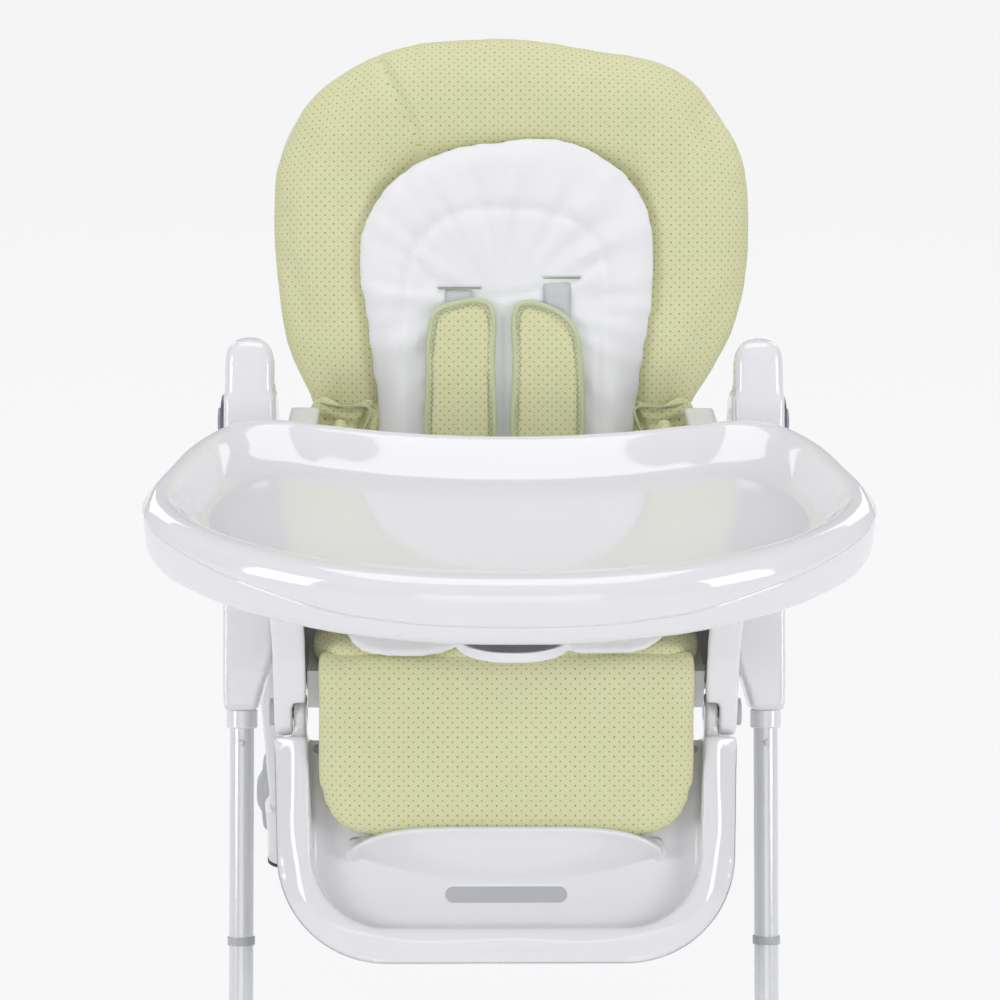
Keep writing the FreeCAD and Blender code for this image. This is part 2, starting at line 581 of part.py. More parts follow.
def tray_face(inset, z):
    """The tray's plan outline, moved inwards by inset."""
    half = [Vector(x, y, 0) for x, y in TRAY_HALF]
    points = half + [Vector(-p.x, p.y, 0) for p in reversed(half[1:-1])]
    moved = []
    for i, here in enumerate(points):
        along = (points[(i + 1) % len(points)] - points[i - 1]).normalize()
        moved.append(here + Vector(-along.y, along.x, 0) * inset)
    curve = Part.BSplineCurve()
    curve.interpolate(Points=moved, PeriodicFlag=True)
    item = doc.addObject("Part::Feature", "tray_plan")
    item.Shape = Part.Face(Part.Wire([curve.toShape()]))
    item.Placement = Placement(Vector(0, 0, z), Rotation())
    return item


def tray_slice(inset, low, high):
    return extrude(tray_face(inset, low), high - low)


def above_parting(clearance):
    """Everything above the line where the removable tray's skirt ends."""
    front_z, side_z = dim("parting_front_z") + clearance, dim("parting_side_z") + clearance
    return side_plate([(-470, front_z - 2.9, 0), (-272, side_z, 40), (0, side_z, 0), (0, 700, 0), (-470, 700, 0)],
                      -320, 640)


def tray():
    rim, base, deck, skin = dim("tray_rim_z"), dim("tray_base_z"), dim("deck_z"), dim("tray_skin")
    recess = dim("recess_z")
    wall = cut(cut(tray_slice(1, base, 664), tray_slice(4.5, base - 1, 666)), above_parting(-0.6))
    rebate = cut(tray_slice(5.5, deck, 655), tray_slice(9, deck - 1, 656))
    plate = tray_slice(3, deck, deck + skin)
    rails, rooms, tongues = [], [], []
    for side in SIDES.values():
        rails += [slab(side, 169.4, 172, -238, -78, dim("tray_rail_z"), deck + 1),
                  slab(side, 205.4, 208.4, -238, -66, dim("tray_rail_z"), deck + 1),
                  slab(side, 169.4, 208.4, -241, -238, dim("tray_rail_z"), deck + 1)]
        rooms += [slab(side, 172, 205.4, -238, -30, 590, 619.5),
                  slab(side, 205, 209, -202, -186, 600, 607)]
        tongues.append(slab(side, 200.2, 205.5, -180, -100, 601.2, 605))
    lever_room = block(-45, 45, -460, -392, base - 1, 626)
    body = cut(fuse(wall, rebate, plate, *rails), *rooms, lever_room)
    keep("tray_base", fuse(body, *tongues))

    skirt = common(cut(tray_slice(0, 620, rim), tray_slice(4.5, 619, rim - skin)), above_parting(0))
    bowl = tray_slice(22, recess - skin, rim - 1)
    keep("tray_insert", cut(fuse(skirt, bowl), tray_slice(25, recess, rim + 5)))

    cup = front_plate([(-42, 623, 2), (42, 623, 2), (42, 614, 6), (24, 597, 22), (-24, 597, 22), (-42, 614, 6)],
                      -436, 34)
    finger_room = front_plate([(-39, 620.5, 1), (39, 620.5, 1), (39, 614, 5), (22, 599.5, 20), (-22, 599.5, 20),
                               (-39, 614, 5)], -437, 31)
    keep("tray_lever", cut(cup, finger_room))
    for name, side in SIDES.items():
        keep(f"tray_latch_{name}", slab(side, 200.6, 236, -200, -188, 601.2, 605.8))


# ---------------------------------------------------------------- build, check and write
def build():
    front_frame()
    front_foot_pads()
    fold_buttons()
    rear_frame()
    wheels()
    seat_frame()
    seat_buttons()
    seat_softs()
    backrest()
    recline_handle()
    footrest()
    tray()
    doc.recompute()


def check():
    failed = [item.Label for item in doc.Objects if "Invalid" in item.State or "Error" in item.State]
    if failed:
        raise RuntimeError(f"did not build: {failed}")
    for node, item in subparts.items():
        if item.Shape.isNull() or not item.Shape.isValid() or not item.Shape.Solids:
            raise RuntimeError(f"{node} is not a valid solid")


def write():
    os.makedirs("parts", exist_ok=True)
    for node, item in subparts.items():
        item.Shape.exportStep(os.path.join("parts", node + ".step"))
        print(f"{node}: {len(item.Shape.Solids)} solid(s), {item.Shape.Volume / 1000:.1f} cm3")


build()
check()
write()
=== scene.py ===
# %% [markdown]
# A folding high chair for a baby: a white plastic seat that slides on two tube legs, with
# a padded green cover, a soft cotton liner, a five-point harness, a deep tray and a footrest.
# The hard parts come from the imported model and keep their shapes. This lesson gives them
# their finishes, sews the soft parts around them and sets up a small studio.

# %% Load the frame
import json
import math

import bmesh
import bpy
import numpy as np
from mathutils import Matrix, Vector, noise

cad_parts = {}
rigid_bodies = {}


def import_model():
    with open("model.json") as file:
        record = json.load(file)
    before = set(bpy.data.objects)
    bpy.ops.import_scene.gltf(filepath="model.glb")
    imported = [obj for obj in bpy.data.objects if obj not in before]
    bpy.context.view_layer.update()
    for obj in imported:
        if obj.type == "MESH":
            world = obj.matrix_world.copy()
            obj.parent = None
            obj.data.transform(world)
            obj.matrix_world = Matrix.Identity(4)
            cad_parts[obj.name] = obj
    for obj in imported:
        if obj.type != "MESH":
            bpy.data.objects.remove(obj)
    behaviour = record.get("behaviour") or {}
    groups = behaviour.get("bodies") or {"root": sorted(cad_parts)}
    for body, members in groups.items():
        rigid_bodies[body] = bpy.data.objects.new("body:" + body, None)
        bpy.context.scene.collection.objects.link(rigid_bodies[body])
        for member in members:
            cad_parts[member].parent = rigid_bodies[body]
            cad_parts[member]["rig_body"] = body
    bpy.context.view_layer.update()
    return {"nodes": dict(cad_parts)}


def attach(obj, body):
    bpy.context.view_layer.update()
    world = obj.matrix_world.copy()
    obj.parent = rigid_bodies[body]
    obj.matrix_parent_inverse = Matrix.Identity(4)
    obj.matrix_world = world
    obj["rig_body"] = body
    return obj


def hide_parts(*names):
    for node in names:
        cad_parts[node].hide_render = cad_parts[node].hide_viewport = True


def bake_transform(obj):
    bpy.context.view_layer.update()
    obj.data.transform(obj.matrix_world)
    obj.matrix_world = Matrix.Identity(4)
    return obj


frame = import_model()
nodes = frame["nodes"]
MM = 0.001

# %% [markdown]
# The padded parts lie on three tilted planes: the backrest, the footrest and the level seat.
# Each plane gets a matrix, so that a piece is drawn flat: x across, t up or down the plane,
# and a height above it. A fourth plane stands upright, for the side bolsters.

# %% Working planes
RECLINE = math.radians(-18)
FOOT_TILT = math.radians(-35)
BACK = Matrix.Translation((0, 0.120, 0.455)) @ Matrix.Rotation(RECLINE + math.pi / 2, 4, "X")
FOOT = (
    Matrix.Translation((0, -0.152, 0.422))
    @ Matrix.Rotation(FOOT_TILT + math.pi / 2, 4, "X")
    @ Matrix.Diagonal((1, -1, 1, 1))
)
SEAT = Matrix.Translation((0, 0, 0.465))
SIDE = Matrix(((0, 0, 1, 0), (1, 0, 0, 0), (0, 1, 0, 0.495), (0, 0, 0, 1)))
for plane_name, plane in (("back", BACK), ("foot", FOOT), ("side", SIDE)):
    print(plane_name, "plane, a point 100 mm up:", tuple(round(c, 3) for c in plane @ Vector((0, 0.1, 0))))

# %% [markdown]
# Shader sums are easier to read as Python sums. Value wraps one socket, and each operator
# adds the Math node that does that sum. Finish is one material: its node method adds any
# other node, and its set method writes the constants on the shader itself.

# %% A small language for materials
class Value:
    """One shader socket that can be used in a sum."""

    def __init__(self, finish, socket):
        self.finish = finish
        self.socket = socket

    def maths(self, operation, *terms):
        return self.finish.node("ShaderNodeMath", {"operation": operation}, dict(enumerate(terms)))

    def __add__(self, other):
        return self.maths("ADD", self, other)

    def __radd__(self, other):
        return self.maths("ADD", other, self)

    def __sub__(self, other):
        return self.maths("SUBTRACT", self, other)

    def __rsub__(self, other):
        return self.maths("SUBTRACT", other, self)

    def __mul__(self, other):
        return self.maths("MULTIPLY", self, other)

    def __rmul__(self, other):
        return self.maths("MULTIPLY", other, self)

    def __truediv__(self, other):
        return self.maths("DIVIDE", self, other)

    def __mod__(self, other):
        return self.maths("FLOORED_MODULO", self, other)

    def floor(self):
        return self.maths("FLOOR", self)

    def wave(self):
        return self.maths("SINE", self)

    def size(self):
        return self.maths("ABSOLUTE", self)

    def under(self, limit, blur):
        """1 where this value is under the limit, 0 above it, with a soft edge."""
        settings = {"interpolation_type": "SMOOTHSTEP"}
        sockets = {0: self, 1: limit - blur, 2: limit + blur, 3: 1.0, 4: 0.0}
        return self.finish.node("ShaderNodeMapRange", settings, sockets)


class Finish:
    """One material, with its Principled shader ready."""

    def __init__(self, name):
        self.material = bpy.data.materials.new(name)
        self.material.use_nodes = True
        self.tree = self.material.node_tree
        self.shader = self.tree.nodes["Principled BSDF"]

    def node(self, kind, settings=None, sockets=None, output=0):
        made = self.tree.nodes.new(kind)
        for key, value in (settings or {}).items():
            if key == "stops":
                ramp = made.color_ramp
                while len(ramp.elements) < len(value):
                    ramp.elements.new(0.5)
                for element, (place, colour) in zip(ramp.elements, value):
                    element.position = place
                    element.color = colour
            else:
                setattr(made, key, value)
        for key, value in (sockets or {}).items():
            if isinstance(value, Value):
                self.tree.links.new(value.socket, made.inputs[key])
            else:
                made.inputs[key].default_value = value
        return Value(self, made.outputs[output])

    def set(self, **constants):
        for key, value in constants.items():
            self.shader.inputs[key.replace("_", " ")].default_value = value

    def feed(self, socket, value):
        self.tree.links.new(value.socket, self.shader.inputs[socket])

    def place(self):
        return self.node("ShaderNodeTexCoord", output="Object")

    def cloth_place(self):
        return self.node("ShaderNodeUVMap", {"uv_map": "cloth"})

    def split(self, vector):
        return [self.node("ShaderNodeSeparateXYZ", None, {0: vector}, axis) for axis in range(3)]

    def speckle(self, vector, scale, detail=3.0, rough=0.5):
        sockets = {"Vector": vector, "Scale": scale, "Detail": detail, "Roughness": rough}
        return self.node("ShaderNodeTexNoise", None, sockets)

    def blend(self, factor, first, second):
        settings = {"data_type": "RGBA", "clamp_factor": True}
        return self.node("ShaderNodeMix", settings, {0: factor, 6: first, 7: second}, 2)

    def relief(self, height, strength, distance):
        sockets = {"Height": height, "Strength": strength, "Distance": distance}
        self.feed("Normal", self.node("ShaderNodeBump", None, sockets))


def tint(red, green, blue):
    """A colour as paint charts give it, 0 to 255, as the shader wants it."""
    linear = [((c / 255 + 0.055) / 1.055) ** 2.4 for c in (red, green, blue)]
    return (*linear, 1.0)


print("sample tint", [round(c, 3) for c in tint(212, 214, 172)])

# %% [markdown]
# The hard parts are glossy injection moulded plastic. Real mouldings are never one flat
# value: the surface has a faint ripple that bends reflections, tiny dust and wipe marks
# that change the gloss, and a slightly warmer tone where the wall is thick.

# %% Moulded plastics
def moulded(name, colour, shade, gloss, ripple=0.25, coat=0.0):
    f = Finish(name)
    at = f.place()
    cloud = f.speckle(at, 9.0, 2.0)
    dust = f.speckle(at, 420.0, 2.0)
    wipes = f.speckle(f.node("ShaderNodeMapping", None, {0: at, 3: (60.0, 14.0, 90.0)}), 1.0, 2.0)
    f.feed("Base Color", f.blend(cloud, colour, shade))
    f.feed("Roughness", gloss + wipes * 0.05 + dust * 0.02)
    f.relief(f.speckle(at, 55.0, 1.0) + dust * 0.04, ripple, 0.0012)
    f.set(Coat_Weight=coat, Coat_Roughness=0.03)
    return f.material


white_plastic = moulded("white_plastic", tint(232, 232, 234), tint(227, 227, 230), 0.06, 0.10, 0.4)
grey_plastic = moulded("grey_plastic", tint(186, 187, 191), tint(176, 177, 182), 0.34, 0.3)
dark_plastic = moulded("dark_plastic", tint(104, 100, 112), tint(88, 85, 97), 0.38, 0.3)
print("plastics", white_plastic.name, grey_plastic.name, dark_plastic.name)

# %% [markdown]
# The legs are steel tube under a pearl paint. The paint has an orange peel finish and a
# thin clear coat. The pins and buttons stay bare: brushed along their length. The feet are
# black rubber with a dusty bloom.

# %% Tube paint, steel and rubber
def tube_paint():
    f = Finish("pearl_tube_paint")
    at = f.place()
    peel = f.speckle(at, 900.0, 2.0)
    flake = f.node("ShaderNodeTexVoronoi", None, {"Vector": at, "Scale": 900.0})
    f.feed("Base Color", f.blend(flake, tint(214, 216, 219), tint(226, 227, 229)))
    f.feed("Roughness", 0.22 + f.speckle(at, 12.0, 1.0) * 0.04)
    f.relief(peel, 0.12, 0.0006)
    f.set(Metallic=0.1, Coat_Weight=0.6, Coat_Roughness=0.08)
    return f.material


def bare_steel():
    f = Finish("brushed_steel")
    grain = f.speckle(f.node("ShaderNodeMapping", None, {0: f.place(), 3: (40.0, 900.0, 900.0)}), 1.0)
    f.feed("Base Color", f.blend(grain, tint(176, 176, 180), tint(206, 206, 210)))
    f.feed("Roughness", 0.24 + grain * 0.18)
    f.relief(grain, 0.15, 0.0004)
    f.set(Metallic=1.0)
    return f.material


def sole_rubber():
    f = Finish("sole_rubber")
    bloom = f.speckle(f.place(), 70.0, 5.0)
    f.feed("Base Color", f.blend(bloom, tint(44, 42, 45), tint(78, 76, 80)))
    f.feed("Roughness", 0.62 + bloom * 0.25)
    f.relief(f.speckle(f.place(), 800.0), 0.4, 0.0005)
    return f.material


pearl_tube_paint = tube_paint()
brushed_steel = bare_steel()
sole_rubber_black = sole_rubber()
print("metal and rubber ready")

# %% [markdown]
# The cover is a soft coated cloth with two rows of tiny printed dots, olive and orange by
# turns, on a square lattice turned by 45 degrees. The dots have to follow the cloth round
# the edges, so they read a map made for each piece, in metres of cloth. The ground is not
# even: it is a little yellower where the pad is full.

# %% The dotted cover cloth
DOT_STEP = 0.0060
DOT_RADIUS = 0.135
TURN = math.sqrt(0.5)


def dotted_cloth():
    f = Finish("dotted_green_cloth")
    across, along, _ = f.split(f.cloth_place())
    column = (across + along) * (TURN / DOT_STEP)
    row = (along - across) * (TURN / DOT_STEP)
    dx = column - column.floor() - 0.5
    dy = row - row.floor() - 0.5
    reach = f.node("ShaderNodeVectorMath", {"operation": "LENGTH"},
                   {0: f.node("ShaderNodeCombineXYZ", None, {0: dx, 1: dy})}, 1)
    dot = reach.under(DOT_RADIUS, 0.045)
    second = (column.floor() + row.floor()) % 2.0
    ink = f.blend(second, tint(122, 132, 104), tint(206, 146, 88))
    cloud = f.speckle(f.place(), 7.0, 3.0)
    ground = f.blend(cloud, tint(206, 209, 160), tint(216, 217, 174))
    f.feed("Base Color", f.blend(dot * 0.85, ground, ink))
    pores = f.speckle(f.place(), 1500.0, 2.0)
    f.feed("Roughness", 0.62 + cloud * 0.10 + pores * 0.06)
    slack = f.speckle(f.place(), 90.0, 3.0)
    f.relief(pores * 0.35 + slack - dot * 0.3, 0.28, 0.0016)
    f.set(Sheen_Weight=0.12, Sheen_Roughness=0.5)
    return f.material


# %% [markdown]
# The binding tape and the gusset behind the pads are a plain paler green rib. The liner is
# a fine cotton jersey: tiny knit ribs, and a soft sheen. The harness is woven webbing, with
# a herringbone that runs along the strap.

# %% Plain cloths and webbing
def ribbed(name, colour, shade, pitch, strength, rough=0.8, sheen=0.15):
    f = Finish(name)
    across, along, _ = f.split(f.cloth_place())
    rib = (across * (math.tau / pitch)).wave()
    weft = (along * (math.tau / pitch) + rib.floor() * math.pi).wave()
    cloud = f.speckle(f.place(), 16.0, 4.0)
    fuzz = f.speckle(f.place(), 1300.0, 2.0)
    f.feed("Base Color", f.blend(cloud * 0.7 + fuzz * 0.3, colour, shade))
    f.feed("Roughness", rough + fuzz * 0.1)
    f.relief(rib * weft * 0.5 + fuzz, strength, 0.0008)
    f.set(Sheen_Weight=sheen, Sheen_Roughness=0.6)
    return f.material


dotted_green = dotted_cloth()
pale_green = ribbed("pale_green_rib", tint(205, 213, 176), tint(193, 203, 165), 0.0009, 0.35)
white_cotton = ribbed("white_cotton_jersey", tint(242, 242, 244), tint(234, 234, 237), 0.0011, 0.30)
white_webbing = ribbed("white_webbing", tint(228, 229, 232), tint(212, 213, 217), 0.0016, 0.8)
# The grey thread colour also paints the shade inside the buttonhole slits.
grey_thread_and_painted_shade = ribbed("grey_thread_and_painted_shade", tint(170, 178, 158), tint(150, 158, 140), 0.0007, 0.3)
white_thread = ribbed("white_thread", tint(222, 222, 226), tint(206, 206, 211), 0.0007, 0.3)
print("cloths ready")

# %% [markdown]
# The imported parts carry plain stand-in colours. Each slot of the record now gets its real
# finish. Nothing moves: only the material slots of the objects change.

# %% Finishes for the hard parts
FINISHES = {
    "white_plastic": white_plastic,
    "grey_plastic": grey_plastic,
    "dark_plastic": dark_plastic,
    "painted_tube": pearl_tube_paint,
    "steel": brushed_steel,
    "green_fabric": dotted_green,
    "white_cotton": white_cotton,
    "webbing": white_webbing,
    "rubber": sole_rubber_black,
}
for part in nodes.values():
    for holder in part.material_slots:
        base_name = holder.material.name.split(".")[0]
        holder.material = FINISHES.get(base_name, white_plastic)
print("finishes given to", len(nodes), "parts")

# %% [markdown]
# Soft parts start the way they are cut: an outline drawn with a smooth curve through a few
# points, filled and extruded to a slab. The curve tool gives the smooth outline, and bmesh
# the slab.

# %% Cut a pad
def smooth_loop(points, steps=7, closed=True):
    """Points on a smooth curve through the given flat points, in order."""
    data = bpy.data.curves.new("outline", "CURVE")
    data.resolution_u = steps
    spline = data.splines.new("BEZIER")
    spline.bezier_points.add(len(points) - 1)
    for knot, (x, t) in zip(spline.bezier_points, points):
        knot.co = (x * MM, t * MM, 0)
        knot.handle_left_type = knot.handle_right_type = "AUTO"
    spline.use_cyclic_u = closed
    holder = bpy.data.objects.new("outline", data)
    mesh = bpy.data.meshes.new_from_object(holder)
    path = np.array([v.co[:2] for v in mesh.vertices])
    bpy.data.objects.remove(holder)
    bpy.data.meshes.remove(mesh)
    return path


def add_object(name, mesh):
    made = bpy.data.objects.new(name, mesh)
    bpy.context.scene.collection.objects.link(made)
    return made


def slab(name, outline, low, high, plane):
    """The outline filled at one height and extruded to another, on a working plane."""
    loop = smooth_loop(outline)
    build = bmesh.new()
    rim = [build.verts.new((x, t, low * MM)) for x, t in loop]
    face = build.faces.new(rim)
    lifted = bmesh.ops.extrude_face_region(build, geom=[face])
    top = [v for v in lifted["geom"] if isinstance(v, bmesh.types.BMVert)]
    bmesh.ops.translate(build, verts=top, vec=(0, 0, (high - low) * MM))
    bmesh.ops.recalc_face_normals(build, faces=build.faces)
    mesh = bpy.data.meshes.new(name)
    build.to_mesh(mesh)
    build.free()
    made = add_object(name, mesh)
    made["plane"] = [c for row in plane for c in row]
    return made


def flat_mirror(points):
    """A half outline, and its other half."""
    return points + [(-x, t) for x, t in reversed(points) if abs(x) > 1]


# %% [markdown]
# Padding is air under cloth as far as the eye can tell. The slab is remeshed to an even
# grid, Blender's Cloth blows it up with a little pressure, and each point may move only so
# far, so that the pad keeps its size. Air also draws an outline in, which a sewn seam does
# not do, so across the plane the pad only swells evenly. The result is kept as a plain mesh.

# %% Stuff a pad
GRID = 0.005
AIR_FRAMES = 20
SWELL = 0.7


def set_mesh(piece, mesh):
    old = piece.data
    piece.modifiers.clear()
    piece.data = mesh
    mesh.name = piece.name
    bpy.data.meshes.remove(old)


def evaluated_mesh(piece):
    graph = bpy.context.evaluated_depsgraph_get()
    return bpy.data.meshes.new_from_object(piece.evaluated_get(graph))


def points_of(piece):
    flat = np.zeros(len(piece.data.vertices) * 3)
    piece.data.vertices.foreach_get("co", flat)
    return flat.reshape(-1, 3)


def put_points(piece, points):
    piece.data.vertices.foreach_set("co", points.ravel())
    piece.data.update()


def soften(piece, rounds, factor=0.5):
    build = bmesh.new()
    build.from_mesh(piece.data)
    for _ in range(rounds):
        bmesh.ops.smooth_vert(build, verts=build.verts, factor=factor,
                              use_axis_x=True, use_axis_y=True, use_axis_z=True)
    build.to_mesh(piece.data)
    build.free()


def stuff(piece, cap, pressure=4.0, grid=GRID):
    scene = bpy.context.scene
    remesh = piece.modifiers.new("Grid", "REMESH")
    remesh.mode = "VOXEL"
    remesh.voxel_size = grid
    set_mesh(piece, evaluated_mesh(piece))
    soften(piece, 2)
    before = points_of(piece)
    swell = np.array([v.normal for v in piece.data.vertices]) * cap * SWELL * MM
    moved = swell.copy()
    air = piece.modifiers.new("Air", "CLOTH")
    air.settings.use_pressure = True
    air.settings.uniform_pressure_force = pressure
    air.settings.effector_weights.gravity = 0
    air.settings.quality = 4
    air.point_cache.frame_start = 1
    air.point_cache.frame_end = AIR_FRAMES
    for moment in range(1, AIR_FRAMES + 1):
        scene.frame_set(moment)
    set_mesh(piece, evaluated_mesh(piece))
    scene.frame_set(1)
    moved = points_of(piece) - before
    length = np.linalg.norm(moved, axis=1, keepdims=True)
    moved *= np.minimum(1, cap * MM / np.maximum(length, 1e-9))
    moved[:, :2] = swell[:, :2]
    put_points(piece, before + moved)
    soften(piece, 2)
    print(piece.name, len(before), "points, blown up by", round(float(abs(moved[:, 2]).max()) / MM, 1), "mm")
    return piece


# %% [markdown]
# Sewn channels, creases and folds come after the stuffing. Each is a push along the pad's
# height, that fades with the distance from a line drawn on the pad.

# %% Work the surface
def distance_to(points, path):
    """Distance of each flat point from a line of flat points."""
    starts, ends = path[:-1], path[1:]
    span = ends - starts
    gap = points[:, None, :] - starts[None]
    share = np.clip((gap * span).sum(2) / np.maximum((span * span).sum(1), 1e-12), 0, 1)
    away = gap - share[..., None] * span
    return np.sqrt((away * away).sum(2)).min(1)


def ease(value, start, end):
    share = np.clip((value - start) / (end - start), 0, 1)
    return share * share * (3 - 2 * share)


def press(piece, line, depth, width, above, closed=False):
    """Pushes the side above a height down along a line: a sewn channel or a crease."""
    path = smooth_loop(line, closed=closed) if len(line) > 2 else np.array(line) * MM
    if closed:
        path = np.vstack([path, path[:1]])
    points = points_of(piece)
    near = np.exp(-((distance_to(points[:, :2], path) / (width * MM)) ** 2))
    upper = ease(points[:, 2], (above - 6) * MM, above * MM)
    points[:, 2] -= near * upper * depth * MM
    put_points(piece, points)


def crumple(piece, amount, scale, stretch=(1, 1, 1), seed=0.0):
    """Small uneven wrinkles, along the surface's own normal."""
    points = points_of(piece)
    normals = np.array([v.normal for v in piece.data.vertices])
    push = [noise.fractal(Vector((p[0] * stretch[0], p[1] * stretch[1], p[2] * stretch[2])) * scale
                          + Vector((seed, seed, seed)), 0.9, 2.1, 3) for p in points]
    put_points(piece, points + normals * np.array(push)[:, None] * amount * MM)


def finish_pad(piece, finish, levels=1):
    """Lays the cloth map, puts the pad in its place and rounds it off."""
    plane = Matrix([list(piece["plane"])[i:i + 4] for i in (0, 4, 8, 12)])
    lay_cloth(piece)
    piece.data.transform(plane)
    if plane.determinant() < 0:
        piece.data.flip_normals()
    piece.data.polygons.foreach_set("use_smooth", [True] * len(piece.data.polygons))
    if levels:
        rounder = piece.modifiers.new("Rounder", "SUBSURF")
        rounder.levels = rounder.render_levels = levels
    piece.data.materials.clear()
    piece.data.materials.append(finish)
    del piece["plane"]
    return piece


def lay_cloth(piece):
    """A flat map in metres of cloth, that runs on down the sides."""
    points = points_of(piece)
    normals = np.array([v.normal for v in piece.data.vertices])
    drop = points[:, 2].max() - points[:, 2]
    spread = points[:, :2] + normals[:, :2] * drop[:, None]
    layer = piece.data.uv_layers.new(name="cloth")
    corners = np.zeros(len(piece.data.loops), int)
    piece.data.loops.foreach_get("vertex_index", corners)
    layer.data.foreach_set("uv", spread[corners].astype(np.float32).ravel())


# %% [markdown]
# The back pad is the chair's face: a tall egg with a full rim that stands about 10 mm over
# the middle, where the liner lies. The rim is pulled in at its sewn edge, and has one
# slanting crease where the cloth was folded in its box.

# %% The back pad
back_outline = [
    (-3, 500), (-50, 498), (-98, 491), (-152, 466), (-181, 442), (-199, 410), (-212, 372),
    (-214, 330), (-209, 264), (-199, 208), (-186, 178), (-173, 150), (-166, 90), (-164, 28),
    (0, 22), (162, 28), (164, 90), (171, 140), (181, 164), (202, 198), (223, 246), (231, 304),
    (231, 350), (223, 399), (201, 436), (178, 463), (140, 481), (92, 489), (40, 497),
]
back_pad = stuff(slab("back_pad", back_outline, 5, 34, BACK), 9)
rim_path = smooth_loop(back_outline)
rim_path = np.vstack([rim_path, rim_path[:1]])
spots = points_of(back_pad)
inside = distance_to(spots[:, :2], rim_path)
front_side = ease(spots[:, 2], 14 * MM, 24 * MM)
high_part = ease(spots[:, 1], 120 * MM, 200 * MM)
spots[:, 2] += front_side * (4 * np.exp(-(((inside - 46 * MM) / (34 * MM)) ** 2))) * MM * high_part
spots[:, 2] -= front_side * ease(inside, 78 * MM, 112 * MM) * 9 * MM
put_points(back_pad, spots)
press(back_pad, [(-122, 494), (-106, 459), (-90, 426), (-78, 393)], 5.5, 5, 26)
press(back_pad, [(-113, 491), (-97, 459), (-81, 428), (-72, 400)], -2.5, 6, 26)
press(back_pad, [(-214, 300), (-196, 268), (-184, 230)], 2.5, 9, 20)
press(back_pad, [(228, 262), (205, 240), (190, 210)], 2.5, 9, 20)
crumple(back_pad, 1.3, 14, seed=3.0)
soften(back_pad, 1)
finish_pad(back_pad, dotted_green)
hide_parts("back_cushion")
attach(back_pad, "backrest")
print("back pad done")

# %% [markdown]
# Behind the pad the cover turns round the edge of the shell as a plain pale gusset and ends
# in a gathered hem. It is a band: the outline's own edge, drawn out backwards and then in.

# %% The gusset behind the back pad
def band(name, outline, steps, plane, finish, thick=1.4):
    """An open band: the outline at several heights and insets, joined and thickened."""
    loop = smooth_loop(outline)
    centre = loop.mean(0)
    build = bmesh.new()
    ring = [build.verts.new((x, t, steps[0][1] * MM)) for x, t in loop]
    edges = [build.edges.new((ring[i], ring[(i + 1) % len(ring)])) for i in range(len(ring))]
    tangent = np.roll(loop, -1, 0) - np.roll(loop, 1, 0)
    outward = np.stack([tangent[:, 1], -tangent[:, 0]], 1)
    outward /= np.linalg.norm(outward, axis=1, keepdims=True)
    if ((loop - centre) * outward).sum() < 0:
        outward = -outward
    for grow, height in steps:
        if (grow, height) != steps[0]:
            more = bmesh.ops.extrude_edge_only(build, edges=edges)["geom"]
            edges = [g for g in more if isinstance(g, bmesh.types.BMEdge) and g.is_boundary]
            ring = [v for v in more if isinstance(v, bmesh.types.BMVert)]
            ring.sort(key=lambda v: v.index)
        for v, (x, t), out in zip(ring, loop, outward):
            v.co = (x + out[0] * grow * MM, t + out[1] * grow * MM, height * MM)
    mesh = bpy.data.meshes.new(name)
    bmesh.ops.recalc_face_normals(build, faces=build.faces)
    build.to_mesh(mesh)
    build.free()
    made = add_object(name, mesh)
    made["plane"] = [c for row in plane for c in row]
    finish_pad(made, finish)
    thickness = made.modifiers.new("Thickness", "SOLIDIFY")
    thickness.thickness = thick * MM
    thickness.offset = 0
    return made


gusset = band("back_gusset", [(x, t) for x, t in back_outline if t > 100],
              [(0, 14), (3.5, 5), (4.5, -6), (2.5, -16), (-4, -19.5), (-15, -19)],
              BACK, pale_green)
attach(gusset, "backrest")
print("gusset done")

# %% [markdown]
# The liner is a thin quilt of white cotton that lies loose on the back pad. Its edge is a
# soft roll, an arch is sewn inside it, and the head pillow above has a free lower edge. The
# cotton puckers away from every seam.

# %% The liner's back
liner_outline = [
    (-3, 403), (-69, 388), (-108, 361), (-130, 324), (-135, 292), (-129, 246), (-120, 180),
    (-117, 128), (-112, 60), (-108, 34), (0, 30), (110, 34), (116, 70), (124, 130), (131, 188),
    (141, 254), (141, 319), (126, 360), (90, 391), (43, 406),
]
arch_line = [(-92, 60), (-90, 140), (-91, 225), (-88, 282), (-75, 314), (-45, 335), (-3, 341),
             (46, 336), (83, 318), (97, 290), (99, 226), (97, 140), (98, 60)]
pillow_line = [(-84, 290), (-60, 270), (-33, 261), (-2, 257), (36, 264), (72, 276), (90, 290)]
liner_back = stuff(slab("liner_back", liner_outline, 46, 56, BACK), 4.5, grid=0.004)
press(liner_back, arch_line, 4.0, 4.5, 52)
press(liner_back, pillow_line, 3.0, 3.5, 52)
spots = points_of(liner_back)
top_spot = np.array([0.0, 0.25])
offset = spots[:, :2] - top_spot
angle = np.arctan2(offset[:, 1], offset[:, 0])
reach = np.linalg.norm(offset, axis=1)
pucker = [noise.noise(Vector((math.cos(a) * 7, math.sin(a) * 7, r * 9))) for a, r in zip(angle, reach)]
edge_share = np.exp(-((distance_to(spots[:, :2], smooth_loop(arch_line, closed=False)) / 0.030) ** 2))
spots[:, 2] += np.array(pucker) * (0.5 + edge_share) * 3.4 * MM * ease(spots[:, 2], 48 * MM, 52 * MM)
put_points(liner_back, spots)
crumple(liner_back, 1.5, 26, (1.0, 0.6, 1.0), seed=8.0)
soften(liner_back, 1)
finish_pad(liner_back, white_cotton)
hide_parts("insert_back_pad")
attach(liner_back, "backrest")
print("liner back done")

# %% [markdown]
# The seat pad is a plain block cushion under the liner. The liner's seat half ends in two
# round lobes that peep over the front edge.

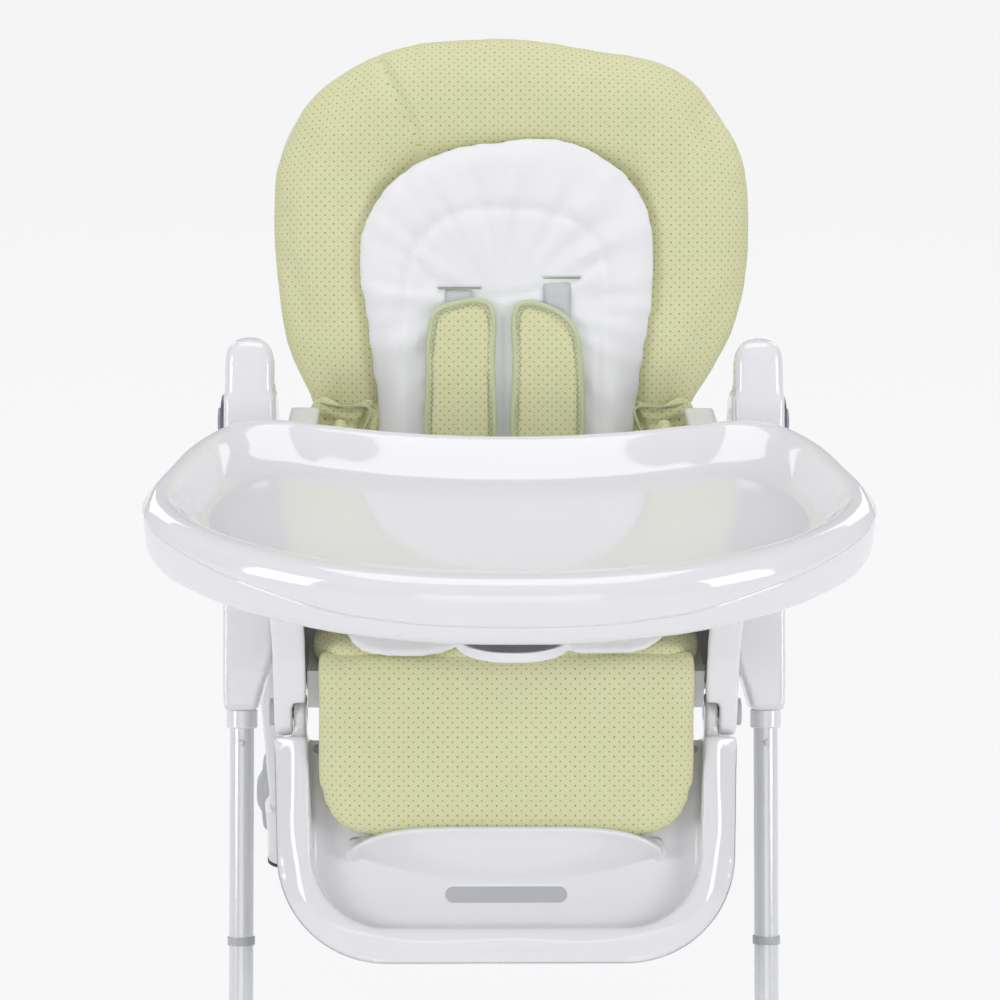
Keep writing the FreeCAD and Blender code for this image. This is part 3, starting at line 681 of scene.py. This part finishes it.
# %% The seat pad and the liner's seat
seat_outline = flat_mirror([(0, 68), (110, 68), (158, 62), (163, 20), (163, -100), (161, -152), (90, -163),
                            (0, -165)])
seat_pad = stuff(slab("seat_pad", seat_outline, 4, 26, SEAT), 4)
crumple(seat_pad, 1.2, 18, seed=5.0)
finish_pad(seat_pad, dotted_green)
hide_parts("seat_cushion")
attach(seat_pad, "seat")

liner_seat_outline = [
    (0, 60), (100, 58), (118, 40), (122, -40), (134, -120), (138, -152), (120, -172), (84, -179),
    (50, -172), (24, -150), (0, -136), (-24, -150), (-50, -174), (-86, -181), (-122, -174),
    (-138, -152), (-134, -120), (-122, -40), (-118, 40), (-100, 58),
]
liner_seat = stuff(slab("liner_seat", liner_seat_outline, 31.5, 40, SEAT), 3.5, grid=0.004)
press(liner_seat, [(0, 50), (0, -60), (0, -140)], 3, 9, 36)
spots = points_of(liner_seat)
spots[:, 2] -= (ease(-spots[:, 1], 0.150, 0.182) * 9 * MM)
put_points(liner_seat, spots)
crumple(liner_seat, 1.6, 24, seed=2.0)
finish_pad(liner_seat, white_cotton)
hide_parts("insert_seat_pad")
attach(liner_seat, "seat")
print("seat pads done")

# %% [markdown]
# From the front edge of the seat the same dotted cloth hangs down as a calf pad, and its
# foot is tucked behind the foot ledge. It crosses the footrest's hinge, so it bends. It is
# drawn flat and then laid over a profile that runs down the front.

# %% The calf pad
CALF_PROFILE = [(0, -150, 487), (16, -166, 484), (34, -176, 470), (75, -188, 431),
                (125, -205, 384), (165, -222, 347), (190, -229, 325)]
calf_outline = flat_mirror([(0, 8), (120, 8), (160, 10), (164, 28), (162, 80), (160, 134), (150, 156),
                            (126, 172), (80, 176), (0, 177)])
calf_pad = stuff(slab("calf_cover", calf_outline, -9, 1, Matrix.Identity(4)), 4.5)
press(calf_pad, [(-158, 20), (-140, 14), (0, 20), (140, 14), (158, 20)], 3.0, 5, -2)
spots = points_of(calf_pad)
lower = ease(spots[:, 1], 0.06, 0.14)
spots[:, 2] += lower * 3 * MM * np.cos(np.clip(spots[:, 0] / 0.165, -1, 1) * math.pi / 2)
put_points(calf_pad, spots)
crumple(calf_pad, 1.4, 12, seed=11.0)
lay_cloth(calf_pad)
spots = points_of(calf_pad)
profile = np.array(CALF_PROFILE, float) * MM
run_y = np.interp(spots[:, 1], profile[:, 0], profile[:, 1])
run_z = np.interp(spots[:, 1], profile[:, 0], profile[:, 2])
step = 6 * MM
slope_y = np.interp(spots[:, 1] + step, profile[:, 0], profile[:, 1]) - \
    np.interp(spots[:, 1] - step, profile[:, 0], profile[:, 1])
slope_z = np.interp(spots[:, 1] + step, profile[:, 0], profile[:, 2]) - \
    np.interp(spots[:, 1] - step, profile[:, 0], profile[:, 2])
slope = np.hypot(slope_y, slope_z)
laid = np.stack([spots[:, 0], run_y + slope_z / slope * spots[:, 2],
                 run_z - slope_y / slope * spots[:, 2]], 1)
put_points(calf_pad, laid)
calf_pad.data.flip_normals()
soften(calf_pad, 2)
calf_pad.data.polygons.foreach_set("use_smooth", [True] * len(calf_pad.data.polygons))
calf_pad.data.materials.append(dotted_green)
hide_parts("calf_pad")
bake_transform(calf_pad)
del calf_pad["plane"]
print("calf pad done")

# %% [markdown]
# Two bolsters line the insides of the seat walls, drawn as seen from the side.

# %% The side bolsters
bolster_outline = [(112, 8), (113, 96), (108, 109), (60, 113), (-10, 106), (-52, 98), (-128, 96),
                   (-146, 84), (-147, 20), (-140, 6)]
for side, sign in (("left", -1), ("right", 1)):
    bolster = stuff(slab(f"bolster_{side}", bolster_outline, 146, 162, SIDE), 4)
    crumple(bolster, 1.3, 16, seed=20.0 + sign)
    if sign < 0:
        spots = points_of(bolster)
        spots[:, 2] = -spots[:, 2]
        put_points(bolster, spots)
        bolster.data.flip_normals()
    finish_pad(bolster, dotted_green)
    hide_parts(f"seat_bolster_{side}")
    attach(bolster, "seat")
print("bolsters done")

# %% [markdown]
# The harness is flat webbing. A strap starts as one edge across its width, and that edge
# is drawn out from point to point, then thickened and rounded.

# %% Straps
def strap(name, body, points, across, thick=1.6, plane=None, finish=None):
    """Webbing along some points; across is half its width as a vector, or one per point."""
    build = bmesh.new()
    widths = across if isinstance(across, list) else [across] * len(points)
    first = [build.verts.new(Vector(points[0]) + Vector(widths[0]) * s) for s in (-1, 1)]
    edge = build.edges.new(first)
    for place, wide in zip(points[1:], widths[1:]):
        more = bmesh.ops.extrude_edge_only(build, edges=[edge])["geom"]
        edge = next(g for g in more if isinstance(g, bmesh.types.BMEdge) and
                    all(v in more for v in g.verts))
        ends = sorted(edge.verts, key=lambda v: v.index)
        for v, s in zip([w for w in more if isinstance(w, bmesh.types.BMVert)], (-1, 1)):
            v.co = Vector(place) + Vector(wide) * s
        del ends
    bmesh.ops.scale(build, vec=(MM, MM, MM), verts=build.verts)
    if plane:
        bmesh.ops.transform(build, matrix=plane, verts=build.verts)
    bmesh.ops.recalc_face_normals(build, faces=build.faces)
    layer = build.loops.layers.uv.new("cloth")
    for face in build.faces:
        for loop in face.loops:
            loop[layer].uv = (loop.vert.co.x, loop.vert.co.y + loop.vert.co.z)
    mesh = bpy.data.meshes.new(name)
    build.to_mesh(mesh)
    build.free()
    made = add_object(name, mesh)
    made.data.polygons.foreach_set("use_smooth", [True] * len(made.data.polygons))
    rounder = made.modifiers.new("Rounder", "SUBSURF")
    rounder.levels = rounder.render_levels = 2
    body_thickness = made.modifiers.new("Thickness", "SOLIDIFY")
    body_thickness.thickness = thick * MM
    body_thickness.offset = 0
    made.data.materials.append(finish or white_webbing)
    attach(made, body)
    return made


HARNESS = 11
for side, sign, mid, top in (("left", -1, -42, 268), ("right", 1, 52, 276)):
    strap(f"shoulder_strap_{side}", "backrest",
          [(mid, top, 50), (mid, top - 3, 57), (mid, top - 10, 61.5), (mid, 236, 62), (mid * 1.02, 180, 61.5),
           (mid, 120, 61), (mid * 0.95, 70, 61), (mid * 0.9, 28, 60.5)],
          (HARNESS + 2, 0, 0), plane=BACK)
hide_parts("shoulder_straps")
strap("crotch_strap_web", "seat", [(0, -45, 508), (0, -45, 515), (0, -45, 528), (0, -44, 545)], (18, 0, 0))
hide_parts("crotch_strap")
for side, sign in (("left", -1), ("right", 1)):
    strap(f"waist_strap_{side}", "seat",
          [(sign * 26, -45, 558), (sign * 46, -36, 558), (sign * 80, -4, 558), (sign * 112, 32, 557),
           (sign * 134, 62, 556)], (0, 0, 12))
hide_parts("waist_straps")
calf_strap = strap("calf_strap", "footrest",
                   [(-172, -32, 5.6), (-120, -32, 5.6), (0, -32, 5.6), (120, -32, 5.6), (172, -32, 5.6)],
                   (0, 7.5, 0), thick=1.4,
                   plane=Matrix.Translation((0, -0.152, 0.422)) @ Matrix.Rotation(FOOT_TILT, 4, "X")
                   @ Matrix(((1, 0, 0, 0), (0, 0, 1, 0), (0, 1, 0, 0), (0, 0, 0, 1))))
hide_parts("footrest_strap")
print("webbing done")

# %% [markdown]
# Each shoulder strap runs through a small pad of the green cloth. The pad is bound with a
# pale tape that is folded over its edge and sewn with a zigzag.

# %% Shoulder pads
def tape(name, path, plane, height, radius, finish, body, flat=0.45):
    """A bound edge: a tube along a closed flat path, pressed flat."""
    data = bpy.data.curves.new(name, "CURVE")
    data.dimensions = "3D"
    spline = data.splines.new("POLY")
    spline.points.add(len(path) - 1)
    for knot, (x, t) in zip(spline.points, path):
        knot.co = (x, t, 0, 1)
    spline.use_cyclic_u = True
    data.bevel_depth = radius * MM
    data.bevel_resolution = 3
    holder = bpy.data.objects.new(name, data)
    mesh = bpy.data.meshes.new_from_object(holder)
    bpy.data.objects.remove(holder)
    mesh.transform(Matrix.Translation((0, 0, height * MM)) @ Matrix.Diagonal((1, 1, flat, 1)))
    made = add_object(name, mesh)
    made["plane"] = [c for row in plane for c in row]
    finish_pad(made, finish, 0)
    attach(made, body)
    return made


def zigzag(path, width, pitch):
    """Points that swing from side to side of a closed flat path."""
    closed = np.vstack([path, path[:1]])
    run = np.concatenate([[0], np.cumsum(np.linalg.norm(np.diff(closed, axis=0), axis=1))])
    count = int(run[-1] / (pitch * MM)) // 2 * 2
    places = np.linspace(0, run[-1], count, endpoint=False)
    middle = np.stack([np.interp(places, run, closed[:, i]) for i in (0, 1)], 1)
    tangent = np.roll(middle, -1, 0) - np.roll(middle, 1, 0)
    tangent /= np.linalg.norm(tangent, axis=1, keepdims=True)
    swing = np.where(np.arange(count) % 2, 1, -1)[:, None] * width * MM
    return middle + np.stack([tangent[:, 1], -tangent[:, 0]], 1) * swing


def shrink(path, amount):
    """The closed path drawn in by an amount."""
    tangent = np.roll(path, -1, 0) - np.roll(path, 1, 0)
    tangent /= np.linalg.norm(tangent, axis=1, keepdims=True)
    inward = np.stack([-tangent[:, 1], tangent[:, 0]], 1)
    if ((path.mean(0) - path) * inward).sum() < 0:
        inward = -inward
    return path + inward * amount * MM


shoulder_outlines = {
    "left": [(-71, 108), (-72, 180), (-70, 226), (-65, 242), (-46, 251), (-15, 252), (-10, 246), (-9, 197),
             (-9, 110), (-14, 104), (-66, 104)],
    "right": [(11, 110), (11, 200), (12, 246), (17, 251), (40, 249), (63, 235), (71, 221), (74, 205),
              (74, 112), (69, 104), (16, 104)],
}
for side, outline in shoulder_outlines.items():
    pad = stuff(slab(f"shoulder_pad_cover_{side}", outline, 64.5, 70, BACK), 3.0, grid=0.003)
    crumple(pad, 0.8, 30, seed=1.0)
    finish_pad(pad, dotted_green)
    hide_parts(f"shoulder_pad_{side}")
    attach(pad, "backrest")
    edge_path = smooth_loop(outline, 5)
    tape(f"shoulder_binding_{side}", shrink(edge_path, 1.5), BACK, 67.5, 3.2, pale_green, "backrest",
         1.25)
    tape(f"shoulder_stitch_{side}", zigzag(shrink(edge_path, 5.5), 1.4, 2.6), BACK, 72.4, 0.45,
         grey_thread_and_painted_shade, "backrest", 1.0)
print("shoulder pads done")

# %% [markdown]
# The tray is two mouldings, one over the other. Both are lofts: the same number of points
# on each of three outlines, the widest edge, the inside of the rim and the edge of the
# floor. A ring may lie anywhere between two outlines, so the rim can be wide at the front
# and narrow at the horns. Neighbouring rings are bridged.

# %% Loft helper
def mix_outlines(outlines, place):
    low = min(int(place), len(outlines) - 2)
    share = place - low
    return outlines[low] * (1 - share) + outlines[low + 1] * share


def loft(name, rings, finish, body, cap=True, levels=1):
    """Bridges rings of (flat points, heights) and closes the last one."""
    build = bmesh.new()
    last = None
    for flat, heights in rings:
        ring = [build.verts.new((x, y, z)) for (x, y), z in zip(flat, heights)]
        edges = [build.edges.new((ring[i], ring[(i + 1) % len(ring)])) for i in range(len(ring))]
        if last:
            bmesh.ops.bridge_loops(build, edges=last + edges)
        last = edges
    if cap:
        bmesh.ops.contextual_create(build, geom=last)
    bmesh.ops.recalc_face_normals(build, faces=build.faces)
    mesh = bpy.data.meshes.new(name)
    build.to_mesh(mesh)
    build.free()
    made = add_object(name, mesh)
    mesh.polygons.foreach_set("use_smooth", [True] * len(mesh.polygons))
    if levels:
        rounder = made.modifiers.new("Rounder", "SUBSURF")
        rounder.levels = rounder.render_levels = levels
    mesh.materials.append(finish)
    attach(made, body)
    return made


def level(flat, height):
    return np.full(len(flat), height * MM)


# %% [markdown]
# The parting line between the two mouldings is not level: it runs low across the front and
# climbs in a long wave to the sides.

# %% The tray
wide_edge = smooth_loop(flat_mirror([
    (0, -446), (105, -434), (185, -402), (252, -350), (290, -292), (297, -250), (287, -180),
    (266, -104), (240, -66), (212, -55), (165, -68), (96, -90), (0, -101)]))
rim_inside = smooth_loop(flat_mirror([
    (0, -411), (100, -400), (172, -372), (234, -326), (266, -280), (274, -246), (266, -186),
    (247, -118), (228, -88), (206, -79), (162, -91), (94, -111), (0, -121)]))
floor_edge = smooth_loop(flat_mirror([
    (0, -385), (96, -376), (160, -350), (208, -310), (236, -272), (243, -240), (238, -196),
    (222, -158), (206, -142), (184, -138), (150, -144), (90, -158), (0, -165)]))
under_edge = smooth_loop(flat_mirror([
    (0, -414), (98, -402), (170, -368), (232, -322), (266, -280), (274, -245), (266, -180),
    (248, -112), (230, -78), (208, -68), (166, -80), (96, -102), (0, -113)]))
tray_lines = [wide_edge, rim_inside, floor_edge]
side_rise = np.interp(np.abs(wide_edge[:, 0]), np.array([0, 70, 130, 200, 262, 292]) * MM,
                      np.array([630, 630.5, 633.5, 643, 651, 655]) * MM)
parting = np.where(wide_edge[:, 1] > -0.25, 0.655, side_rise)
TRAY_PROFILE = [(0.03, 653.0), (0.10, 658.5), (0.24, 662.6), (0.42, 664.7), (0.62, 665.2), (0.82, 664.5),
                (1.0, 662.2), (1.14, 657.5), (1.34, 649.8), (1.58, 642.4), (1.80, 638.7), (1.96, 637.4),
                (2.04, 637.2)]
top_rings = [(mix_outlines(tray_lines, 0.10), parting - 2.0 * MM), (mix_outlines(tray_lines, 0.012), parting),
             (mix_outlines(tray_lines, 0.0), parting + 1.0 * MM),
             (mix_outlines(tray_lines, 0.004), parting + 0.45 * (0.653 - parting) + 1.0 * MM)]
for place, height in TRAY_PROFILE:
    flat = mix_outlines(tray_lines, place)
    top_rings.append((flat, np.maximum(level(flat, height), parting + 1.6 * MM if place < 0.1 else 0)))
tray_top = loft("tray_top_moulding", top_rings, white_plastic, "tray_insert")
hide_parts("tray_insert")

UNDER = 0.610
base_rings = []
for place, share in ((0.10, 1.0), (0.025, 0.995), (0.02, 0.90), (0.03, 0.55), (0.07, 0.36), (0.16, 0.20),
                     (0.32, 0.085), (0.60, 0.02), (0.95, 0.0), (1.05, 0.0)):
    flat = mix_outlines([wide_edge, under_edge], place)
    base_rings.append((flat, UNDER + share * (parting - 0.0004 - UNDER)))
tray_under = loft("tray_under_moulding", base_rings, white_plastic, "tray")
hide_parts("tray_base")
print("tray lofted,", len(wide_edge), "points round")

# %% [markdown]
# Small blocks come from a cube that is scaled, placed and bevelled all round.

# %% Rounded blocks, the tray's rails and its pull
def block(name, low, high, radius, finish, body, plane=None):
    build = bmesh.new()
    bmesh.ops.create_cube(build, size=1)
    size = [(b - a) * MM for a, b in zip(low, high)]
    middle = [(a + b) * MM / 2 for a, b in zip(low, high)]
    bmesh.ops.scale(build, vec=size, verts=build.verts)
    bmesh.ops.translate(build, vec=middle, verts=build.verts)
    bmesh.ops.bevel(build, geom=list(build.edges), offset=radius * MM, segments=4, profile=0.5,
                    affect="EDGES", material=-1)
    if plane:
        bmesh.ops.transform(build, matrix=plane, verts=build.verts)
    bmesh.ops.recalc_face_normals(build, faces=build.faces)
    mesh = bpy.data.meshes.new(name)
    build.to_mesh(mesh)
    build.free()
    made = add_object(name, mesh)
    mesh.polygons.foreach_set("use_smooth", [True] * len(mesh.polygons))
    mesh.materials.append(finish)
    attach(made, body)
    return made


for side, sign in (("left", -1), ("right", 1)):
    x_pair = sorted((sign * 206, sign * 230))
    block(f"tray_rail_{side}", (x_pair[0], -286, 599.5), (x_pair[1], -100, 611), 3, white_plastic,
          "tray")

pull_outline = [(-43, -398), (-40, -412), (-28, -425), (0, -432), (28, -425), (40, -412), (43, -398),
                (34, -393), (-34, -393)]
build = bmesh.new()
rim = [build.verts.new((x, y, 595 * MM)) for x, y in smooth_loop(pull_outline)]
bottom = build.faces.new(rim)
raised = bmesh.ops.extrude_face_region(build, geom=[bottom])["geom"]
bmesh.ops.translate(build, verts=[v for v in raised if isinstance(v, bmesh.types.BMVert)], vec=(0, 0, 8 * MM))
top_face = next(g for g in raised if isinstance(g, bmesh.types.BMFace))
bmesh.ops.inset_region(build, faces=[top_face], thickness=2.6 * MM)
sunk = bmesh.ops.extrude_face_region(build, geom=[top_face])["geom"]
bmesh.ops.translate(build, verts=[v for v in sunk if isinstance(v, bmesh.types.BMVert)], vec=(0, 0, -5 * MM))
floor_face = next(g for g in sunk if isinstance(g, bmesh.types.BMFace))
bmesh.ops.delete(build, geom=[top_face], context="FACES_ONLY")
floor_face.material_index = 1
bmesh.ops.recalc_face_normals(build, faces=build.faces)
pull_mesh = bpy.data.meshes.new("tray_pull")
build.to_mesh(pull_mesh)
build.free()
tray_pull = add_object("tray_pull", pull_mesh)
rounding = tray_pull.modifiers.new("Rounding", "BEVEL")
rounding.width = 0.9 * MM
rounding.segments = 3
rounding.angle_limit = math.radians(40)
pull_mesh.materials.append(white_plastic)
pull_mesh.materials.append(grey_plastic)
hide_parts("tray_lever")
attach(tray_pull, "tray_lever")
print("tray rails and pull done")

# %% [markdown]
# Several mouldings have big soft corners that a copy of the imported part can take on: the
# copy's points are merged, it gets an even grid, and smoothing rounds every edge. The more
# rounds, the bigger the radius. The leg housings end in a dome, so their tops get more.

# %% Soften a hard part
def softened(name, node, grid, rounds, puff, extra=0, above=9.0):
    """A rounded stand-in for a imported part, on the same body and with the same finish."""
    source = nodes[node]
    mesh = source.data.copy()
    piece = add_object(name, mesh)
    build = bmesh.new()
    build.from_mesh(mesh)
    bmesh.ops.remove_doubles(build, verts=build.verts, dist=0.01 * MM)
    build.to_mesh(mesh)
    build.free()
    remesh = piece.modifiers.new("Grid", "REMESH")
    remesh.mode = "VOXEL"
    remesh.voxel_size = grid * MM
    set_mesh(piece, evaluated_mesh(piece))
    normals = np.array([v.normal for v in piece.data.vertices])
    put_points(piece, points_of(piece) + normals * puff * MM)
    soften(piece, rounds)
    if extra:
        build = bmesh.new()
        build.from_mesh(piece.data)
        for _ in range(extra):
            chosen = [v for v in build.verts if v.co.z > above]
            bmesh.ops.smooth_vert(build, verts=chosen, factor=0.5, use_axis_x=True, use_axis_y=True,
                                  use_axis_z=True)
        build.to_mesh(piece.data)
        build.free()
    piece.data.polygons.foreach_set("use_smooth", [True] * len(piece.data.polygons))
    piece.data.materials.clear()
    piece.data.materials.append(source.material_slots[0].material)
    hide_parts(node)
    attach(piece, source["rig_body"])
    print(name, len(piece.data.vertices), "points")
    return piece


for side in ("left", "right"):
    softened(f"housing_{side}", f"leg_housing_{side}", 2.5, 5, 0.6, 34, 0.664)
for side in ("left", "right"):
    softened(f"wall_{side}", f"seat_side_{side}", 2.5, 5, -0.1)
foot_shell = softened("foot_panel", "footrest_shell", 2.0, 4, 0.3)

# %% [markdown]
# The foot ledge stands on the panel like a small awning: a round rim, and an underside that
# slopes back to the panel along a curve. It is a grid over the panel, raised point by point,
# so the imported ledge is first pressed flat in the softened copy.

# %% The foot ledge
LEDGE_HALF = 0.137
PANEL = -0.0068


def press_ledge_flat(piece):
    to_plane = np.array(FOOT.inverted())
    from_plane = np.array(FOOT)
    flat = points_of(piece) @ to_plane[:3, :3].T + to_plane[:3, 3]
    on_ledge = (np.abs(flat[:, 0]) < 0.150) & (flat[:, 1] > 0.092) & (flat[:, 1] < 0.157)
    flat[on_ledge, 2] = np.minimum(flat[on_ledge, 2], PANEL)
    put_points(piece, flat @ from_plane[:3, :3].T + from_plane[:3, 3])


press_ledge_flat(foot_shell)


def slope_rim(piece):
    """The U rim is highest near its inside and slopes down to its outer edge."""
    outer = smooth_loop([(-203, -60), (-203, 60), (-200, 122), (-175, 191), (-108, 217), (0, 219),
                         (108, 217), (175, 191), (200, 122), (203, 60), (203, -60)], closed=False)
    to_plane = np.array(FOOT.inverted())
    from_plane = np.array(FOOT)
    flat = points_of(piece) @ to_plane[:3, :3].T + to_plane[:3, 3]
    inside = distance_to(flat[:, :2], outer)
    upper = ease(flat[:, 2], 0.006, 0.014) * ease(flat[:, 1], 0.010, 0.040)
    flat[:, 2] -= upper * (1 - ease(inside, 0.0, 0.021)) * 0.010
    put_points(piece, flat @ from_plane[:3, :3].T + from_plane[:3, 3])


slope_rim(foot_shell)
soften(foot_shell, 3)
build = bmesh.new()
bmesh.ops.create_grid(build, x_segments=150, y_segments=34, size=0.5)
bmesh.ops.scale(build, vec=(0.280, 0.066, 1), verts=build.verts)
bmesh.ops.translate(build, vec=(0, 0.123, 0), verts=build.verts)
ledge_mesh = bpy.data.meshes.new("foot_ledge")
build.to_mesh(ledge_mesh)
build.free()
foot_ledge = add_object("foot_ledge", ledge_mesh)
spots = points_of(foot_ledge)
share = np.clip(np.abs(spots[:, 0]) / LEDGE_HALF, 0, 1.03)
rim_at = 0.101 + 0.019 * share ** 5
foot_at = np.maximum(0.149 - 0.026 * share ** 2.2, rim_at + 0.012)
down = np.clip((spots[:, 1] - rim_at - 0.007) / (foot_at - rim_at - 0.007), 0, 1)
stand = 0.0345 * (1 - 0.5 * share ** 7)
bump = 0.0022 * np.exp(-(((spots[:, 1] - rim_at - 0.0055) / 0.0034) ** 2)) * (1 - down)
rise = ease(spots[:, 1], rim_at - 0.003, rim_at + 0.004) * ease(-share, -1.012, -0.975)
spots[:, 2] = PANEL - 0.0006 + rise * (stand * (1 - down) ** 1.05 + bump)
put_points(foot_ledge, spots)
soften(foot_ledge, 1)
foot_ledge["plane"] = [c for row in FOOT for c in row]
finish_pad(foot_ledge, white_plastic)
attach(foot_ledge, "footrest")
print("foot ledge done")

# %% [markdown]
# Where the back pad meets the bolsters its lower corners fold forward, like the wings of a
# paper plane. Each wing is a small pad with one slanting crease and a bound upper edge.

# %% Folded corners
for side, sign in (("left", -1), ("right", 1)):
    wing_outline = [(sign * x, t) for x, t in ((176, 158), (150, 150), (121, 155), (119, 128), (128, 112),
                                               (160, 110), (176, 122))]
    wing = stuff(slab(f"wing_fold_{side}", wing_outline, 40, 52, BACK), 4, grid=0.003)
    press(wing, [(sign * 122, 154), (sign * 134, 136), (sign * 142, 116)], 6, 4, 47)
    press(wing, [(sign * 170, 140), (sign * 150, 136), (sign * 134, 138)], 4, 4, 47)
    finish_pad(wing, dotted_green)
    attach(wing, "backrest")
    strap(f"wing_tape_{side}", "backrest",
          [(sign * 177, 157, 50), (sign * 150, 151, 55), (sign * 122, 156, 54), (sign * 130, 136, 56),
           (sign * 142, 112, 55)], (0, 0, 2.2), thick=2.4, plane=BACK, finish=pale_green)
print("folded corners done")

# %% [markdown]
# The shoulder straps come out of two buttonholes in the liner: a sewn edge round a slit,
# where the shade inside the gap is painted as a thin dark grey strip.

# %% Buttonholes
for side, low_x, high_x, at_t in (("left", -61, -21, 265), ("right", 37, 74, 275)):
    # painted shade: a thin dark grey strip that stands for the shade inside the slit
    block(f"buttonhole_slit_shade_{side}", (low_x, at_t - 0.7, 57.5), (high_x, at_t + 0.7, 60.6), 0.3, grey_thread_and_painted_shade,
          "backrest", BACK)
    block(f"buttonhole_edge_{side}", (low_x - 1, at_t + 1.0, 57.5), (high_x + 1, at_t + 3.0, 60.9), 0.6,
          white_thread, "backrest", BACK)
print("buttonholes done")

# %% [markdown]
# The studio: a pale floor that runs to the horizon, a soft key lamp at each side that shows
# as window panes in the gloss, a large lamp overhead, and a dim sky. The camera sees the
# floor and sky as plain white paper, while the object's own shadow stays.

# %% Floor and sky
PAPER = tint(250, 250, 251)


def paper_floor():
    f = Finish("paper_floor")
    grain = f.speckle(f.place(), 300.0)
    f.feed("Base Color", f.blend(grain, tint(232, 232, 234), tint(236, 236, 238)))
    f.set(Roughness=0.85)
    rays = f.tree.nodes.new("ShaderNodeLightPath")
    seen = f.node("ShaderNodeMath", {"operation": "MAXIMUM"},
                  {0: Value(f, rays.outputs["Is Camera Ray"]), 1: Value(f, rays.outputs["Is Glossy Ray"])})
    seen = f.node("ShaderNodeMath", {"operation": "MAXIMUM"},
                  {0: seen, 1: Value(f, rays.outputs["Is Transmission Ray"])})
    glow = f.node("ShaderNodeEmission", None, {"Color": PAPER, "Strength": 1.0})
    mixed = f.node("ShaderNodeMixShader", None,
                   {0: seen * 0.93, 1: Value(f, f.shader.outputs[0]), 2: glow})
    f.tree.links.new(mixed.socket, f.tree.nodes["Material Output"].inputs["Surface"])
    return f.material


build = bmesh.new()
bmesh.ops.create_grid(build, x_segments=2, y_segments=2, size=12)
floor_mesh = bpy.data.meshes.new("floor")
build.to_mesh(floor_mesh)
build.free()
floor = add_object("floor", floor_mesh)
floor.data.materials.append(paper_floor())

world = bpy.data.worlds.new("studio")
bpy.context.scene.world = world
world.use_nodes = True
tree = world.node_tree
sky = tree.nodes["Background"]
sky.inputs["Color"].default_value = tint(240, 241, 244)
sky.inputs["Strength"].default_value = 0.42
paper = tree.nodes.new("ShaderNodeBackground")
paper.inputs["Color"].default_value = PAPER
paper.inputs["Strength"].default_value = 1.0
rays = tree.nodes.new("ShaderNodeLightPath")
either = tree.nodes.new("ShaderNodeMath")
either.operation = "MAXIMUM"
tree.links.new(rays.outputs["Is Camera Ray"], either.inputs[0])
tree.links.new(rays.outputs["Is Transmission Ray"], either.inputs[1])
choose = tree.nodes.new("ShaderNodeMixShader")
tree.links.new(either.outputs[0], choose.inputs[0])
tree.links.new(sky.outputs[0], choose.inputs[1])
tree.links.new(paper.outputs[0], choose.inputs[2])
tree.links.new(choose.outputs[0], tree.nodes["World Output"].inputs["Surface"])
print("floor and sky ready")

# %% Lamps
def lamp(name, place, aim, width, height, power):
    data = bpy.data.lights.new(name, "AREA")
    data.shape = "RECTANGLE"
    data.size = width
    data.size_y = height
    data.energy = power
    made = bpy.data.objects.new(name, data)
    bpy.context.scene.collection.objects.link(made)
    made.location = place
    made.rotation_mode = "QUATERNION"
    made.rotation_quaternion = (Vector(aim) - Vector(place)).to_track_quat("-Z", "Y")
    return made


lamp("window_left", (-2.1, -1.6, 1.35), (0, 0, 0.65), 0.85, 1.5, 24)
lamp("window_right", (2.1, -1.6, 1.35), (0, 0, 0.65), 0.85, 1.5, 24)
lamp("ceiling", (0, 0.2, 2.9), (0, 0, 0.5), 1.6, 1.6, 20)
lamp("front_fill", (0, -3.0, 1.0), (0, 0, 0.5), 2.0, 1.0, 10)
lamp("rear_left", (-1.6, 2.2, 1.8), (0, 0, 0.5), 1.2, 1.2, 11)
lamp("rear_right", (1.6, 2.2, 1.8), (0, 0, 0.5), 1.2, 1.2, 11)
print("lamps ready")

# %% [markdown]
# The camera stands a little over 2 m in front of the chair, at an adult's eye level, and
# looks 20 degrees down. It is turned and rolled by a hair, as a hand-set tripod is.

# %% Camera
CAMERA_AT = Vector((-0.041, -2.140, 1.365))
PITCH = math.radians(20.5)
YAW = math.radians(1.0)
ROLL = math.radians(0.4)
camera_data = bpy.data.cameras.new("camera")
camera_data.sensor_width = 36
camera_data.lens = 89.4
camera = bpy.data.objects.new("camera", camera_data)
bpy.context.scene.collection.objects.link(camera)
ahead = Vector((math.sin(YAW) * math.cos(PITCH), math.cos(YAW) * math.cos(PITCH), -math.sin(PITCH)))
right = Vector((math.cos(YAW), -math.sin(YAW), 0))
up = right.cross(ahead)
right, up = (right * math.cos(ROLL) + up * math.sin(ROLL), up * math.cos(ROLL) - right * math.sin(ROLL))
turn = Matrix((right, up, -ahead)).transposed().to_4x4()
camera.matrix_world = Matrix.Translation(CAMERA_AT) @ turn
bpy.context.scene.camera = camera
bpy.context.scene.view_settings.view_transform = "Standard"
print("camera set", camera_data.lens, "mm")
